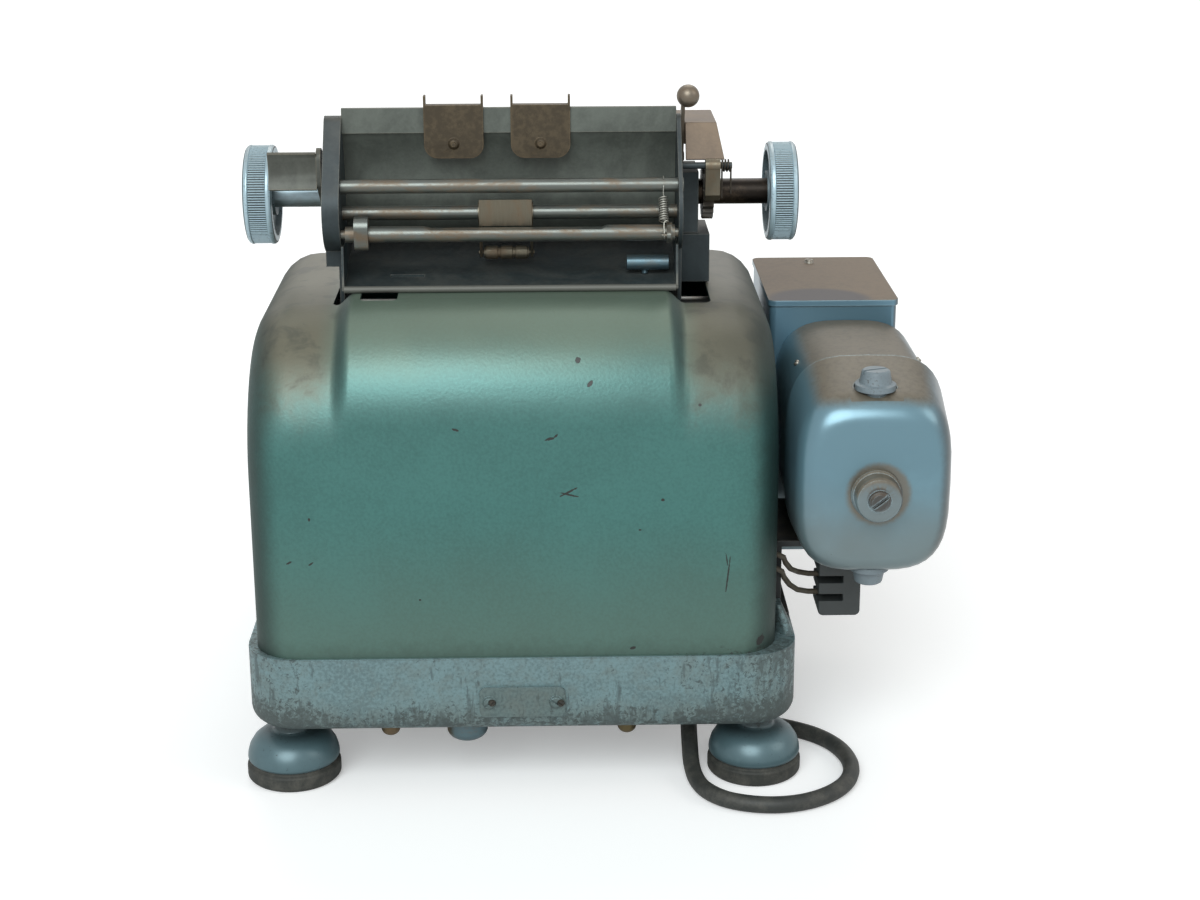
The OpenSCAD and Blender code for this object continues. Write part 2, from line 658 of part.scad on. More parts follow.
module carriage_plate_right() {
    placed() color(c_dark) {
        end_plate(right_in);
        difference() {
            union() {
                slab([right_out - eps, right_out + 9], [platen_y - 14, platen_y + 14], [hood_top + 1, lever_pivot[1] - 6.5]);
                slab([right_out - eps, right_out + 14], [platen_y - 17, platen_y + 14], [hood_top + 1, step_z]);
            }
            bar([platen_y, platen_z], shaft_r + run_gap, right_out - 1, right_out + 15);
        }
        bar(pawl_pin, 1.5, right_out - eps, pin_end);
        bar(lever_pivot, 2, right_out - eps, right_out + 2.6);
    }
}

// Paper table: a sheet that follows the platen from below and flares back to a folded strip
function table_line(off) = concat(
    arc([platen_y, platen_z], sheet_r + off, 262, 172, 12),
    [for (i = [1:9]) let (a = flare_from + (flare_to - flare_from) * i / 9)
        [platen_y, platen_z] + turn([sheet_r, 0], 172) + flare_r * [sin(a) - sin(flare_from), cos(flare_from) - cos(a)]
            + off * [-sin(a), cos(a)] * 1]);
strip_end = table_line(0)[21];
strip_h = 10;
strip_y = [strip_end[0] - 1.2, strip_end[0] + 0.8];
strip_z = [strip_end[1], strip_end[1] + strip_h];
module paper_table() {
    placed() color(c_dark) {
        sheet(left_in, right_in) union() {
            polygon(concat(table_line(0), [for (i = [21:-1:0]) table_line(sheet_t)[i]]));
            translate([strip_y[0], strip_z[0] - 1]) square([2, strip_h + 1]);
        }
    }
}

// Paper guides: a leaf hooked over the strip, with two upright sides and a stud
guide_xs = [carriage_x - 24.2, carriage_x + 13.7];
guide_z = [strip_z[1] - 22, strip_z[1] + slide_gap];
guide_r = 6;
module guide(x) {
    y0 = strip_y[0] - slide_gap - sheet_t;
    y1 = strip_y[1] + slide_gap;
    placed() color(c_brown) translate([x, 0, 0]) difference() {
        union() {
            slab([-guide_w / 2, guide_w / 2], [y0, y0 + sheet_t], [guide_z[0] + guide_r, guide_z[1] + sheet_t]);
            slab([-guide_w / 2 + guide_r, guide_w / 2 - guide_r], [y0, y0 + sheet_t], [guide_z[0], guide_z[0] + guide_r + 1]);
            for (s = [-1, 1]) translate([s * (guide_w / 2 - guide_r), y0, guide_z[0] + guide_r]) rotate([-90, 0, 0])
                cylinder(r = guide_r, h = sheet_t);
            slab([-guide_w / 2, guide_w / 2], [y0, y1 + sheet_t], [guide_z[1], guide_z[1] + sheet_t]);
            slab([-guide_w / 2, guide_w / 2], [y1, y1 + sheet_t], [guide_z[1] - 6, guide_z[1] + sheet_t]);
            for (s = [-1, 1]) slab(s < 0 ? [-guide_w / 2, -guide_w / 2 + sheet_t] : [guide_w / 2 - sheet_t, guide_w / 2],
                [y0, y1 + sheet_t], [guide_z[1], guide_z[1] + 5]);
            translate([0, y0 + eps, guide_z[0] + 6.5]) rotate([90, 0, 0]) {
                cylinder(r1 = 2.6, r2 = 1.5, h = 1.4);
                cylinder(r = 1, h = 3.2);
            }
        }
    }
}
module paper_guide_left() { guide(guide_xs[0]); }
module paper_guide_right() { guide(guide_xs[1]); }

// Paper trough: a floor with a rolled lip, a slot and two ears
floor_rise = 0.115;
function floor_z_at(y) = lip[1] + 0.6 + floor_rise * (y - lip[0]);
floor_mid = [88, floor_z_at(88) - 0.6];
module paper_trough() {
    placed() color(c_dark) difference() {
        union() {
            sheet(left_in, right_in) polygon([lip + [0, -0.6], floor_mid + [0, -0.6], floor_mid + [9, 0.9],
                floor_mid + [18, 5.4], floor_mid + [17.5, 6.5], floor_mid + [8.7, 2.1], floor_mid + [0, 0.6], lip + [0, 0.6]]);
            bar(lip, 1.5, left_in + 1, right_in - 1);
            for (x = [left_in, right_in - sheet_t]) sheet(x, x + sheet_t) polygon([lip + [1, 0], lip + [22, 2],
                lip + [20, 18], rod_3 + [4, -5], rod_3 + [-2, -5]]);
        }
        slab([carriage_x - 53, carriage_x - 38], [64, 67], [hump_top - 5, hump_top + 9]);
    }
}
stop_r = 3.4;
stop_at = [66, lip[1] + 7.6];
module trough_stop() {
    placed() color(c_motor) {
        difference() {
            bar(stop_at, stop_r, right_in - 22, right_in - 3.5);
            bar(stop_at, stop_r - 1.2, right_in - 5.5, right_in - 3);
        }
        translate([right_in - 14, stop_at[0], floor_z_at(stop_at[0] + 1.4) + 0.02])
            cylinder(r = 1.4, h = stop_at[1] - floor_z_at(stop_at[0] + 1.4));
    }
}
module carriage_rods() {
    placed() color(c_steel) for (p = [rod_1, rod_2]) bar(p, rod_d / 2, left_out - 0.6, right_out + 0.6);
}

// Release shaft: pivots in the end plates, milled flat in its middle, with a lug and a spring arm
module release_shaft() {
    placed() color(c_steel) difference() {
        union() {
            bar(rod_3, release_d / 2, left_in + 2, right_in - 1.5);
            bar(rod_3, 2, left_out, right_out);
            sheet(left_in + 6, left_in + 12) hull() {
                translate(rod_3 + [-1, 3.2]) circle(4.8, $fn = 32);
                translate(rod_3 + [-1.5, -3.6]) circle(3, $fn = 32);
            }
            bar(rod_3, 4.6, spring_x + 1.2, spring_x + 3.6);
            sheet(spring_x + 1.2, spring_x + 2.8) hull() {
                translate(rod_3) circle(3.9, $fn = 32);
                translate(arm_tip) circle(1.9, $fn = 32);
            }
            bar(arm_tip, 0.8, spring_x - 1.2, spring_x + 2);
        }
        translate([0, rod_3[0] + 5, rod_3[1] + release_d / 2]) rotate([90, 0, 0]) linear_extrude(10)
            polygon([[carriage_x - 40, 0.6], [carriage_x - 34, -1.3], [carriage_x + 40, -1.3], [carriage_x + 44, 0.6]]);
    }
}
// Tension spring between the upper rod and the release shaft's arm: hook, curls and hook in one wire
spring_lo = arm_tip + [0, -0.8 - spring_wire / 2 - 0.05];
spring_hi = rod_1 + [0, rod_d / 2 + spring_wire / 2 + 0.05];
spring_axis = unit(concat([0], rod_1 - arm_tip));
spring_side = [1, 0, 0];
spring_back = cross(spring_axis, spring_side);
spring_mid = concat([spring_x], (arm_tip + rod_1) / 2);
spring_pitch = spring_wire + 0.48;
spring_coil_l = spring_curls * spring_pitch;
curl_r = (spring_d - spring_wire) / 2;
function along(s, r, a) = spring_mid + s * spring_axis + r * cos(a) * spring_side + r * sin(a) * spring_back;
spring_reach = norm(rod_1 - arm_tip) / 2;
hook_hi = rod_d / 2 + spring_wire / 2 + 0.2;
hook_lo = 0.8 + spring_wire / 2 + 0.12;
spring_path = concat(
    [for (i = [0:15]) along(-spring_reach, 0, 0) + hook_lo * (cos(150 - 20 * i) * spring_back - sin(150 - 20 * i) * spring_axis)],
    [along(-spring_coil_l / 2 - 0.7, curl_r * 0.5, -90)],
    [for (i = [0:8 * spring_curls]) along(-spring_coil_l / 2 + spring_coil_l * i / (8 * spring_curls), curl_r, -45 + 45 * i)],
    [along(spring_coil_l / 2 + 0.7, curl_r * 0.5, -90)],
    [for (i = [0:15]) along(spring_reach, 0, 0) + hook_hi * (cos(-150 + 20 * i) * spring_back + sin(-150 + 20 * i) * spring_axis)]);
module release_spring() { placed() color(c_steel) tube(spring_path, spring_wire / 2, 6, [0.31, 0.52, 0.79]); }

// Feed bracket: a saddle on the middle rod with two legs that carry a small roller
bracket_mid = carriage_x - 1.9;
bracket_x = [bracket_mid - 12, bracket_mid + 12];
roller_at = [77, 228.5];
saddle_r = rod_d / 2 + 1.5;
module feed_bracket() {
    placed() color(c_steel) difference() {
        union() {
            bar(rod_2, saddle_r, bracket_x[0], bracket_x[1]);
            sheet(bracket_x[0] + 0.5, bracket_x[1] - 0.5) polygon([rod_2 + [-saddle_r - 0.6, -5], rod_2 + [-saddle_r - 0.6, 6.5],
                rod_2 + [-saddle_r + 0.8, 6.5], rod_2 + [-saddle_r + 1.2, 0], rod_2 + [-saddle_r + 0.8, -5]]);
            for (x = [bracket_x[0] + 0.2, bracket_x[1] - 1.4]) sheet(x, x + 1.2) hull() {
                translate(rod_2) circle(saddle_r - 0.2, $fn = 32);
                translate(roller_at) circle(2.2, $fn = 32);
            }
            bar(roller_at, 1, bracket_x[0] - 0.3, bracket_x[1] + 0.3);
        }
        bar(rod_2, rod_d / 2 + run_gap, bracket_x[0] - 1, bracket_x[1] + 1);
        slab([bracket_x[0] + 6, bracket_x[1] - 6], [rod_2[0], rod_2[0] + 9], [rod_2[1] - 9, rod_2[1] + 9]);
    }
}
module feed_roller() {
    placed() color(c_steel) difference() {
        union() {
            bar(roller_at, 2.4, bracket_mid - 10, bracket_mid + 10);
            for (i = [-1, 0, 1]) bar(roller_at, 3, bracket_mid + 6.6 * i - 2.6, bracket_mid + 6.6 * i + 2.6);
        }
        bar(roller_at, 1 + run_gap, bracket_mid - 11, bracket_mid + 11);
    }
}

// Release lever with its ball, on the right end plate
lever_x = [right_out + 0.4, right_out + 2];
ball_x = right_in + ball_d / 2 + slide_gap;
module release_lever() {
    placed() color(c_steel) {
        difference() {
            union() {
                sheet(lever_x[0], lever_x[1]) hull() {
                    translate(lever_pivot) circle(5, $fn = 32);
                    translate(ball_at + [0.9, -3]) circle(2, $fn = 32);
                }
            }
            bar(lever_pivot, 2 + run_gap, lever_x[0] - 1, lever_x[1] + 1);
        }
        translate([ball_x, ball_at[0], ball_at[1]]) sphere(d = ball_d);
    }
}

// Thumb lever on the left bush: an arm with a J-shaped notch and a dished tab
arm_x = [left_out - bush_l + 0.4, left_out - bush_l + 2.4];
tab_at = [71, 266.5];
tab_x = [arm_x[0] - 21, arm_x[0]];
module thumb_lever() {
    placed() color(c_brown) {
        difference() {
            sheet(arm_x[0], arm_x[1]) union() {
                hull() {
                    translate([platen_y, platen_z]) circle(bush_r + 3, $fn = 32);
                    translate([75, 271]) circle(5, $fn = 32);
                    translate([75, 262]) circle(5, $fn = 32);
                }
            }
            bar([platen_y, platen_z], bush_r + run_gap, arm_x[0] - 1, arm_x[1] + 1);
            bar([85, 266], 2.4, arm_x[0] - 1, arm_x[1] + 1);
            sheet(arm_x[0] - 1, arm_x[1] + 1) polygon([[83, 267], [87, 265], [91, 277], [87, 279]]);
        }
        difference() {
            sheet(tab_x[0], tab_x[1] + eps) polygon(concat(arc([tab_at[0] - 14, tab_at[1]], 16, -32, 32, 8),
                arc([tab_at[0] - 14, tab_at[1]], 14.6, 32, -32, 8)));
            translate([tab_x[0] - eps, tab_at[0] - 5, tab_at[1] - 10]) rotate([0, 45, 0]) cube([3, 12, 3], center = true);
        }
    }
}

// Cover over the line-space gear, open below
cover_x = [right_out + 2.4, right_out + 19.4];
cover_y = pawl_pin[0] + 3.6;
cover_top = platen_z + 34.5;
cover_t = 1.2;
module cover_form(x, t) {
    side = cover_x[1] - t;
    hull() {
        slab([x, side], [cover_y + 1.4 * t, 120 - t], [platen_z + (t > 0 ? 12 : 19), platen_z + 19.6]);
        slab([x, side - 3.2], [85 + 0.8 * t, 120 - t], [cover_top - t - 0.5, cover_top - t]);
    }
}
module end_cover() {
    placed() color("#9a8a78") {
        difference() {
            cover_form(cover_x[0], 0);
            cover_form(cover_x[0] - 1, cover_t);
        }
        slab([right_out, cover_x[0] + eps], [104, 120], [cover_top - cover_t, cover_top]);
        slab([right_out, right_out + 1.2], [106, 118], [platen_z + 14, cover_top - 0.1]);
    }
}

// Line-space pawl on its pin, and the wire spring round the pin
module line_space_pawl() {
    placed() color(c_steel) difference() {
        union() {
            bar(pawl_pin, 3, pawl_x, pawl_x + pawl_w);
            sheet(pawl_x, pawl_x + pawl_w) polygon([pawl_pin + [-2.6, 0], pawl_pin + [-1.8, -13], pawl_pin + [2, -16],
                pawl_pin + [14, -15], pawl_pin + [14.6, -13.6], pawl_pin + [4, -12.6], pawl_pin + [2.6, 0]]);
        }
        bar(pawl_pin, 1.5 + run_gap, pawl_x - 1, pawl_x + pawl_w + 1);
    }
}
pawl_wire = 0.8;
pawl_curls = 3;
pawl_spring_x = pawl_x + pawl_w + 0.6;
pawl_curl_r = 2.5;
pawl_spring_path = concat(
    [[pawl_spring_x, pawl_pin[0] - pawl_curl_r, pawl_pin[1] - 14], [pawl_spring_x, pawl_pin[0] - pawl_curl_r, pawl_pin[1] - 5]],
    [for (i = [0:8 * pawl_curls]) [pawl_spring_x + (pawl_wire + 0.5) * i / 8, pawl_pin[0] - pawl_curl_r * cos(45 * i),
        pawl_pin[1] + pawl_curl_r * sin(45 * i)]],
    [[pawl_spring_x + (pawl_wire + 0.5) * pawl_curls, pawl_pin[0] - pawl_curl_r, pawl_pin[1] - 4],
        [pawl_spring_x + (pawl_wire + 0.5) * pawl_curls, pawl_pin[0] - pawl_curl_r, pawl_pin[1] - 12]]);
module pawl_spring() { placed() color(c_steel) tube(pawl_spring_path, pawl_wire / 2, 6, [0.9, 0.3, 0.1]); }

// Drive: a shaft between the frame plates, driven by a worm wheel in the gear housing
module drive_shaft() {
    placed() color(c_steel) {
        bar([worm_y, drive_z], drive_r, -frame_out - 2, gearbox_r - gearbox_t - 1);
        difference() {
            bar([worm_y, drive_z], 13, -30, -22);
            bar([worm_y, drive_z], drive_r - 1, -31, -21);
        }
    }
}
module worm_wheel() {
    placed() color(c_brass) difference() {
        union() {
            sheet(shaft_x - 4, shaft_x + 4) translate([worm_y, drive_z]) polygon([for (i = [0:wheel_teeth - 1])
                each [turn([wheel_d / 2 - 2.6, 0], 360 * (i - 0.3) / wheel_teeth), turn([wheel_d / 2, 0], 360 * (i - 0.12) / wheel_teeth),
                    turn([wheel_d / 2, 0], 360 * (i + 0.12) / wheel_teeth), turn([wheel_d / 2 - 2.6, 0], 360 * (i + 0.3) / wheel_teeth)]]);
            bar([worm_y, drive_z], 11, shaft_x - 8, shaft_x + 8);
        }
        bar([worm_y, drive_z], drive_r, shaft_x - 9, shaft_x + 9);
    }
}
module gear_housing() {
    in_x = [gearbox_l + gearbox_t, gearbox_r - gearbox_t];
    in_y = [gearbox_y + gearbox_t, gearbox_back - gearbox_t];
    placed() color(c_motor) {
        difference() {
            union() {
                translate([(gearbox_l + gearbox_r) / 2, (gearbox_y + gearbox_back) / 2, gearbox_low])
                    linear_extrude(gearbox_top - 3 - gearbox_low) round_rect(gearbox_w, gearbox_d, 3);
                slab([frame_out, gearbox_l + eps], neck_y, neck_z);
            }
            slab(in_x, in_y, [gearbox_low + gearbox_t, gearbox_top]);
            slab([frame_out + gearbox_t, gearbox_l + gearbox_t + 1], neck_y + [gearbox_t, -gearbox_t], neck_z + [gearbox_t, -gearbox_t]);
            bar([worm_y, drive_z], drive_r + run_gap, frame_out - 1, frame_out + gearbox_t + 1);
            translate([shaft_x, gearbox_y - 1, shaft_z]) rotate([-90, 0, 0]) cylinder(r = armature_r + run_gap, h = 6);
        }
        difference() {
            bar([worm_y, drive_z], 9, in_x[1] - 5, in_x[1] + eps);
            bar([worm_y, drive_z], drive_r + run_gap, in_x[1] - 6, in_x[1] - eps);
        }
        translate([(gearbox_l + gearbox_r) / 2, (gearbox_y + gearbox_back) / 2, gearbox_top - 3])
            linear_extrude(3) round_rect(gearbox_w + 1.6, gearbox_d + 1.6, 3.8);
    }
}

// Motor: the rear housing, the domed end shield, caps, armature and bracket
module along_y(y) { translate([0, y, 0]) rotate([-90, 0, 0]) children(); }
module motor_housing() {
    placed() color(c_motor) difference() {
        translate([motor_x, shield_back, motor_z]) rotate([-90, 0, 0]) linear_extrude(gearbox_y - shield_back)
            polygon(super_ring(housing_w / 2, housing_h / 2, 3.3, 48));
        translate([shaft_x, shield_back - 1, shaft_z]) rotate([-90, 0, 0]) cylinder(r = 26, h = 60);
        translate([shaft_x, shield_back, shaft_z]) rotate([-90, 0, 0]) cylinder(r = armature_r + run_gap, h = 80);
    }
}
shield_sides = 40;
function super_ring(a, b, e, n) = [for (k = [0:n - 1]) let (t = 360 * k / n)
    [a * sign(cos(t)) * pow(abs(cos(t)), 2 / e), b * sign(sin(t)) * pow(abs(sin(t)), 2 / e)]];
function shield_in(s) = s < 0.7 ? 1.6 * s / 0.7 : 1.6 + 8.4 * (1 - sqrt(max(0, 1 - pow((s - 0.7) / 0.3, 2))));
shield_steps = [0, 0.25, 0.5, 0.7, 0.79, 0.87, 0.93, 0.97, 0.993, 1];
module shield_form() {
    n = shield_sides;
    points = [for (s = shield_steps) let (in = shield_in(s), fall = shield_fall * s + 0.25 * in)
        each [for (p = super_ring(motor_w / 2 - in, motor_h / 2 - in - fall / 2, 3.5, n))
            [motor_x + p[0], shield_back - s * shield_d, motor_z - fall / 2 + p[1]]]];
    polyhedron(points, tube_faces(len(shield_steps), n), convexity = 3);
}
module motor_end_shield() {
    placed() color(c_motor) difference() {
        shield_form();
        translate([shaft_x, motor_face + 10, shaft_z]) rotate([-90, 0, 0]) cylinder(r = 26, h = shield_d);
        translate([shaft_x, motor_face - 3, shaft_z]) rotate([-90, 0, 0]) cylinder(r = armature_r + run_gap, h = 30);
        at_brushes() {
            cylinder(r = 9.2, h = 12);
            translate([0, 0, -20]) cylinder(r = 6 + run_gap, h = 40);
        }
    }
}
module bearing_cap() {
    placed() color(c_motor) translate([shaft_x, motor_face, shaft_z]) rotate([90, 0, 0]) difference() {
        rotate_extrude() polygon([[0, 0.02], [10.9, 0.02], [10.9, 2.4], [10.3, 3.2], [9.9, 3.4], [9.9, 9.4], [9.2, 10.4],
            [7.6, 10.8], [4.9, 10.9], [4.5, 12.2], [3.4, cap_out - 0.2], [0, cap_out]]);
        rotate([0, 0, 38]) translate([-6, -0.6, cap_out - 1.5]) cube([12, 1.2, 3]);
    }
}
module at_brushes() {
    translate([shaft_x, brush_y, motor_z + brush_high]) children();
    translate([shaft_x, brush_y, motor_z - brush_low]) rotate([180, 0, 0]) children();
}
module brush_caps() {
    placed() color("#8d8a7c") at_brushes() difference() {
        rotate_extrude() polygon([[0, -9], [6, -9], [6, 0], [8.7, 0], [8.7, 2.4], [7, 3], [6, 8], [5.2, 8.6], [0, 8.6]]);
        rotate([0, 0, 20]) translate([-7, -0.7, 6.8]) cube([14, 1.4, 3]);
    }
}
module motor_armature() {
    placed() color(c_steel) translate([shaft_x, 0, shaft_z]) {
        along_y(motor_face + 0.6) cylinder(r = armature_r, h = worm_y + worm_l / 2 + 3 - motor_face - 0.6);
        along_y(shield_back + 4) cylinder(r = 22, h = 46);
        along_y(shield_back - 12) cylinder(r = 14, h = 12);
        along_y(worm_y - worm_l / 2) cylinder(r = worm_r, h = worm_l);
    }
}
module motor_bracket() {
    x0 = hood_right + 1.5;
    placed() color(c_dark) {
        slab([x0, gearbox_r - 4], bracket_y, [motor_bottom - bracket_t, motor_bottom]);
        slab([x0, x0 + bracket_t], bracket_y, [base_top, motor_bottom]);
        slab([x0, base_w / 2 - 0.5], bracket_y, [base_top, base_top + bracket_t]);
    }
}
block_x = [motor_x - 17.5, motor_x + 1.5];
block_z = [67, motor_bottom - bracket_t];
module connector_block() {
    placed() color(c_black) difference() {
        translate([(block_x[0] + block_x[1]) / 2, bracket_y[0] + 20, (block_z[0] + block_z[1]) / 2]) rotate([90, 0, 0])
            linear_extrude(20) union() {
                round_rect(block_x[1] - block_x[0], block_z[1] - block_z[0], 2.5);
                translate([0, 4]) square([block_x[1] - block_x[0], block_z[1] - block_z[0] - 8], center = true);
                translate([(block_x[0] - block_x[1]) / 2, 0]) square([block_x[1] - block_x[0], (block_z[1] - block_z[0]) / 2]);
            }
        for (z = lead_zs) slab([block_x[0] - 1, block_x[0] + 11], [bracket_y[0] - 1, bracket_y[0] + 21], [z - 1.6, z + 1.6]);
    }
}
lead_zs = [75.7, 84.4];
lead_r = 1.3;
module motor_leads() {
    placed() color(c_black) for (i = [0, 1]) tube([[block_x[0] + 9, 50, lead_zs[i]], [block_x[0] + 2, 50, lead_zs[i]],
        [block_x[0] - 4, 49.6, lead_zs[i] + 0.3], [block_x[0] - 9, 47.6, lead_zs[i] + 2],
        [block_x[0] - 13, 43.8 - 3 * i, lead_zs[i] + 6], [block_x[0] - 16, 40 - 4 * i, lead_zs[i] + 11],
        [hood_right + 4.2, 37 - 5 * i, lead_zs[i] + 15], [hood_right + 1.6, 35.6 - 5.6 * i, lead_zs[i] + 17],
        [hood_right + 0.3, 35.6 - 5.6 * i, lead_zs[i] + 17]], lead_r, 8, [0.1, 0.6, 0.8]);
}

// Cord: the gland under the base, the free stretch, the coil and the plug
gland_l = 30;
exit_at = cord_route[0];
module cord_gland() {
    placed() color(c_black) {
        translate(exit_at) rotate([-90, 0, 0])
            cylinder(r1 = cord_r + 0.9, r2 = foot_h - exit_z - run_gap, h = gland_l);
        slab([exit_at[0] - 7, exit_at[0] + 7], [exit_at[1] + 14, exit_at[1] + gland_l], [exit_z, foot_h]);
    }
}
module cord() { placed() color(c_black) tube(cord_route, cord_r, 8); }
coil_mid = coil_turns * 180;
coil_steps = 24;
function coil_radius(a) = abs(a - coil_mid) < 90
    ? coil_r - coil_pitch * (coil_mid - 45) / 360 + coil_pitch / 360 * pow(a - coil_mid, 2) / 180
    : coil_r - coil_pitch * (coil_mid - abs(a - coil_mid)) / 360;
function coil_height(a) = floor_z + coil_layer * (1 - ease(clamp((a - coil_mid + 90) / 180)));
function coil_point(a) = concat(coil_at, [0]) + [coil_radius(a) * cos(a), coil_radius(a) * sin(a), coil_height(a)];
coil_path = concat([[61, coil_at[1] - cord_d, floor_z + coil_layer]],
    [for (i = [0:coil_turns * coil_steps]) coil_point(i * 360 / coil_steps)],
    [for (i = [1:4]) coil_at_end() + [-plug_lead * i / 4, 0, (plug_z - floor_z) * ease(i / 4)]],
    [coil_at_end() + [-plug_lead - cord_d, 0, plug_z - floor_z]]);
function coil_at_end() = coil_point(coil_turns * 360);
echo(coil_gap = least_gap([for (i = [0:coil_turns * coil_steps]) coil_point(i * 360 / coil_steps)], 12) - cord_d);
echo(spring_gap = spring_pitch - spring_wire);
module cord_coil() { placed() color(c_black) tube(coil_path, cord_r, 6); }
plug_x = coil_at_end()[0] - plug_lead - cord_d;
module cord_plug() {
    placed() color(c_black) translate([plug_x, coil_at_end()[1], plug_z]) rotate([0, -90, 0]) {
        cylinder(r1 = cord_r + 0.9, r2 = 6, h = 12);
        translate([0, 0, 11]) cylinder(r1 = 7, r2 = 8.5, h = 5 + eps);
        translate([0, 0, 16]) linear_extrude(17) round_rect(17, 25, 6);
        for (s = [-1, 1]) translate([-3.2, s * 6.35 - 0.8, 32]) cube([6.4, 1.6, 18]);
    }
}

module key_0() { digit(0); }
module key_1() { digit(1); }
module key_2() { digit(2); }
module key_3() { digit(3); }
module key_4() { digit(4); }
module key_5() { digit(5); }
module key_6() { digit(6); }
module key_7() { digit(7); }
module key_8() { digit(8); }
module key_9() { digit(9); }
module non_add_key() { control_key(0); }
module subtotal_key() { control_key(1); }
module total_key() { control_key(2); }

base_casting();
base_nuts();
foot_cups();
foot_rubbers();
rear_plate();
hood();
frame_plates();
tie_rods();
keyboard_plate();
key_0();
key_1();
key_2();
key_3();
key_4();
key_5();
key_6();
key_7();
key_8();
key_9();
motor_bar();
total_key();
subtotal_key();
non_add_key();
platen_roller();
platen_shaft();
platen_knobs();
platen_ratchet();
carriage_plate_left();
carriage_plate_right();
paper_table();
paper_trough();
trough_stop();
carriage_rods();
release_shaft();
release_spring();
release_lever();
paper_guide_left();
paper_guide_right();
feed_bracket();
feed_roller();
thumb_lever();
end_cover();
line_space_pawl();
pawl_spring();
type_bars();
drive_shaft();
worm_wheel();
gear_housing();
motor_housing();
motor_end_shield();
bearing_cap();
brush_caps();
motor_armature();
motor_bracket();
connector_block();
motor_leads();
cord_gland();
cord();
cord_coil();
cord_plug();
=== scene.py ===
"""Electric adding machine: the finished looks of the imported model, for Blender 4.5."""

import functools
import json
import math

import bmesh
import bpy
from mathutils import Matrix, Vector
from mathutils.bvhtree import BVHTree


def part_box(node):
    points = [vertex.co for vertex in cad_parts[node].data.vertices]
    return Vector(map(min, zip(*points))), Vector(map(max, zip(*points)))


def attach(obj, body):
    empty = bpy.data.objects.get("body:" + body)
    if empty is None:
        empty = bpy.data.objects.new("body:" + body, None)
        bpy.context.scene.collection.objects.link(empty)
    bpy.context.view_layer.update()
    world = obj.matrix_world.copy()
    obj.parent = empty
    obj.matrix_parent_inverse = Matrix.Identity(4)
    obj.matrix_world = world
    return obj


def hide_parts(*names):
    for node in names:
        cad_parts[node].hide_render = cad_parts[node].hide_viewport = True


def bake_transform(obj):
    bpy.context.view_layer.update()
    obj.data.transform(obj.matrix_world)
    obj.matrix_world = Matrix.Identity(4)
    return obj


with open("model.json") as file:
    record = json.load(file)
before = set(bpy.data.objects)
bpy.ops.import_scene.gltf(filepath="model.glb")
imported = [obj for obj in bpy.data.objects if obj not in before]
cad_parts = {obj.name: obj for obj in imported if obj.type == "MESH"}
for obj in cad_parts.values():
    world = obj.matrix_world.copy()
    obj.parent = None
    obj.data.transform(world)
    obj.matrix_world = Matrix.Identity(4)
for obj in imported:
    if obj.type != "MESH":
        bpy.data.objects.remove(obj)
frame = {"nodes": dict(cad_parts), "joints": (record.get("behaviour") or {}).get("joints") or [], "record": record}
NODES = frame["nodes"]
BODY_OF = {node: body for body, nodes in frame["record"]["behaviour"]["bodies"].items() for node in nodes}
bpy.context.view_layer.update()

bl_info = {
    "name": "Electric adding machine",
    "version": (1, 0, 0),
    "blender": (4, 5, 0),
    "location": "View3D > Sidebar > Adding machine",
    "description": "Dresses the packed adding machine with its finished pieces and materials",
    "category": "Object",
}

MM = 0.001
BASE_LOW, BASE_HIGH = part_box("base_casting")
# The middle of the base's rear face on the table, from which the sizes below are measured
ORIGIN = Vector(((BASE_LOW.x + BASE_HIGH.x) / 2, BASE_LOW.y, 0))


def at(x, y, z):
    """A point given in millimetres from the middle of the base's rear face."""
    return ORIGIN + Vector((x, y, z)) * MM


def paint(red, green, blue):
    """A colour written as 0 to 255 on the screen, as the linear values that Blender uses."""
    return tuple(v / 12.92 if v <= 0.04045 else ((v + 0.055) / 1.055) ** 2.4
                 for v in (red / 255, green / 255, blue / 255)) + (1.0,)


# Node trees, built from expressions


def both_ways(operation):
    """A Python operator and its reflected form, each of which adds a Math node."""
    return (lambda left, right: left.owner.maths(operation, left, right),
            lambda right, left: right.owner.maths(operation, left, right))


class Value:
    """A node's socket that takes part in Python expressions."""

    __add__, __radd__ = both_ways("ADD")
    __sub__, __rsub__ = both_ways("SUBTRACT")
    __mul__, __rmul__ = both_ways("MULTIPLY")
    __truediv__, __rtruediv__ = both_ways("DIVIDE")

    def __init__(self, owner, socket):
        self.owner = owner
        self.socket = socket

    def __abs__(self):
        return self.owner.maths("ABSOLUTE", self)


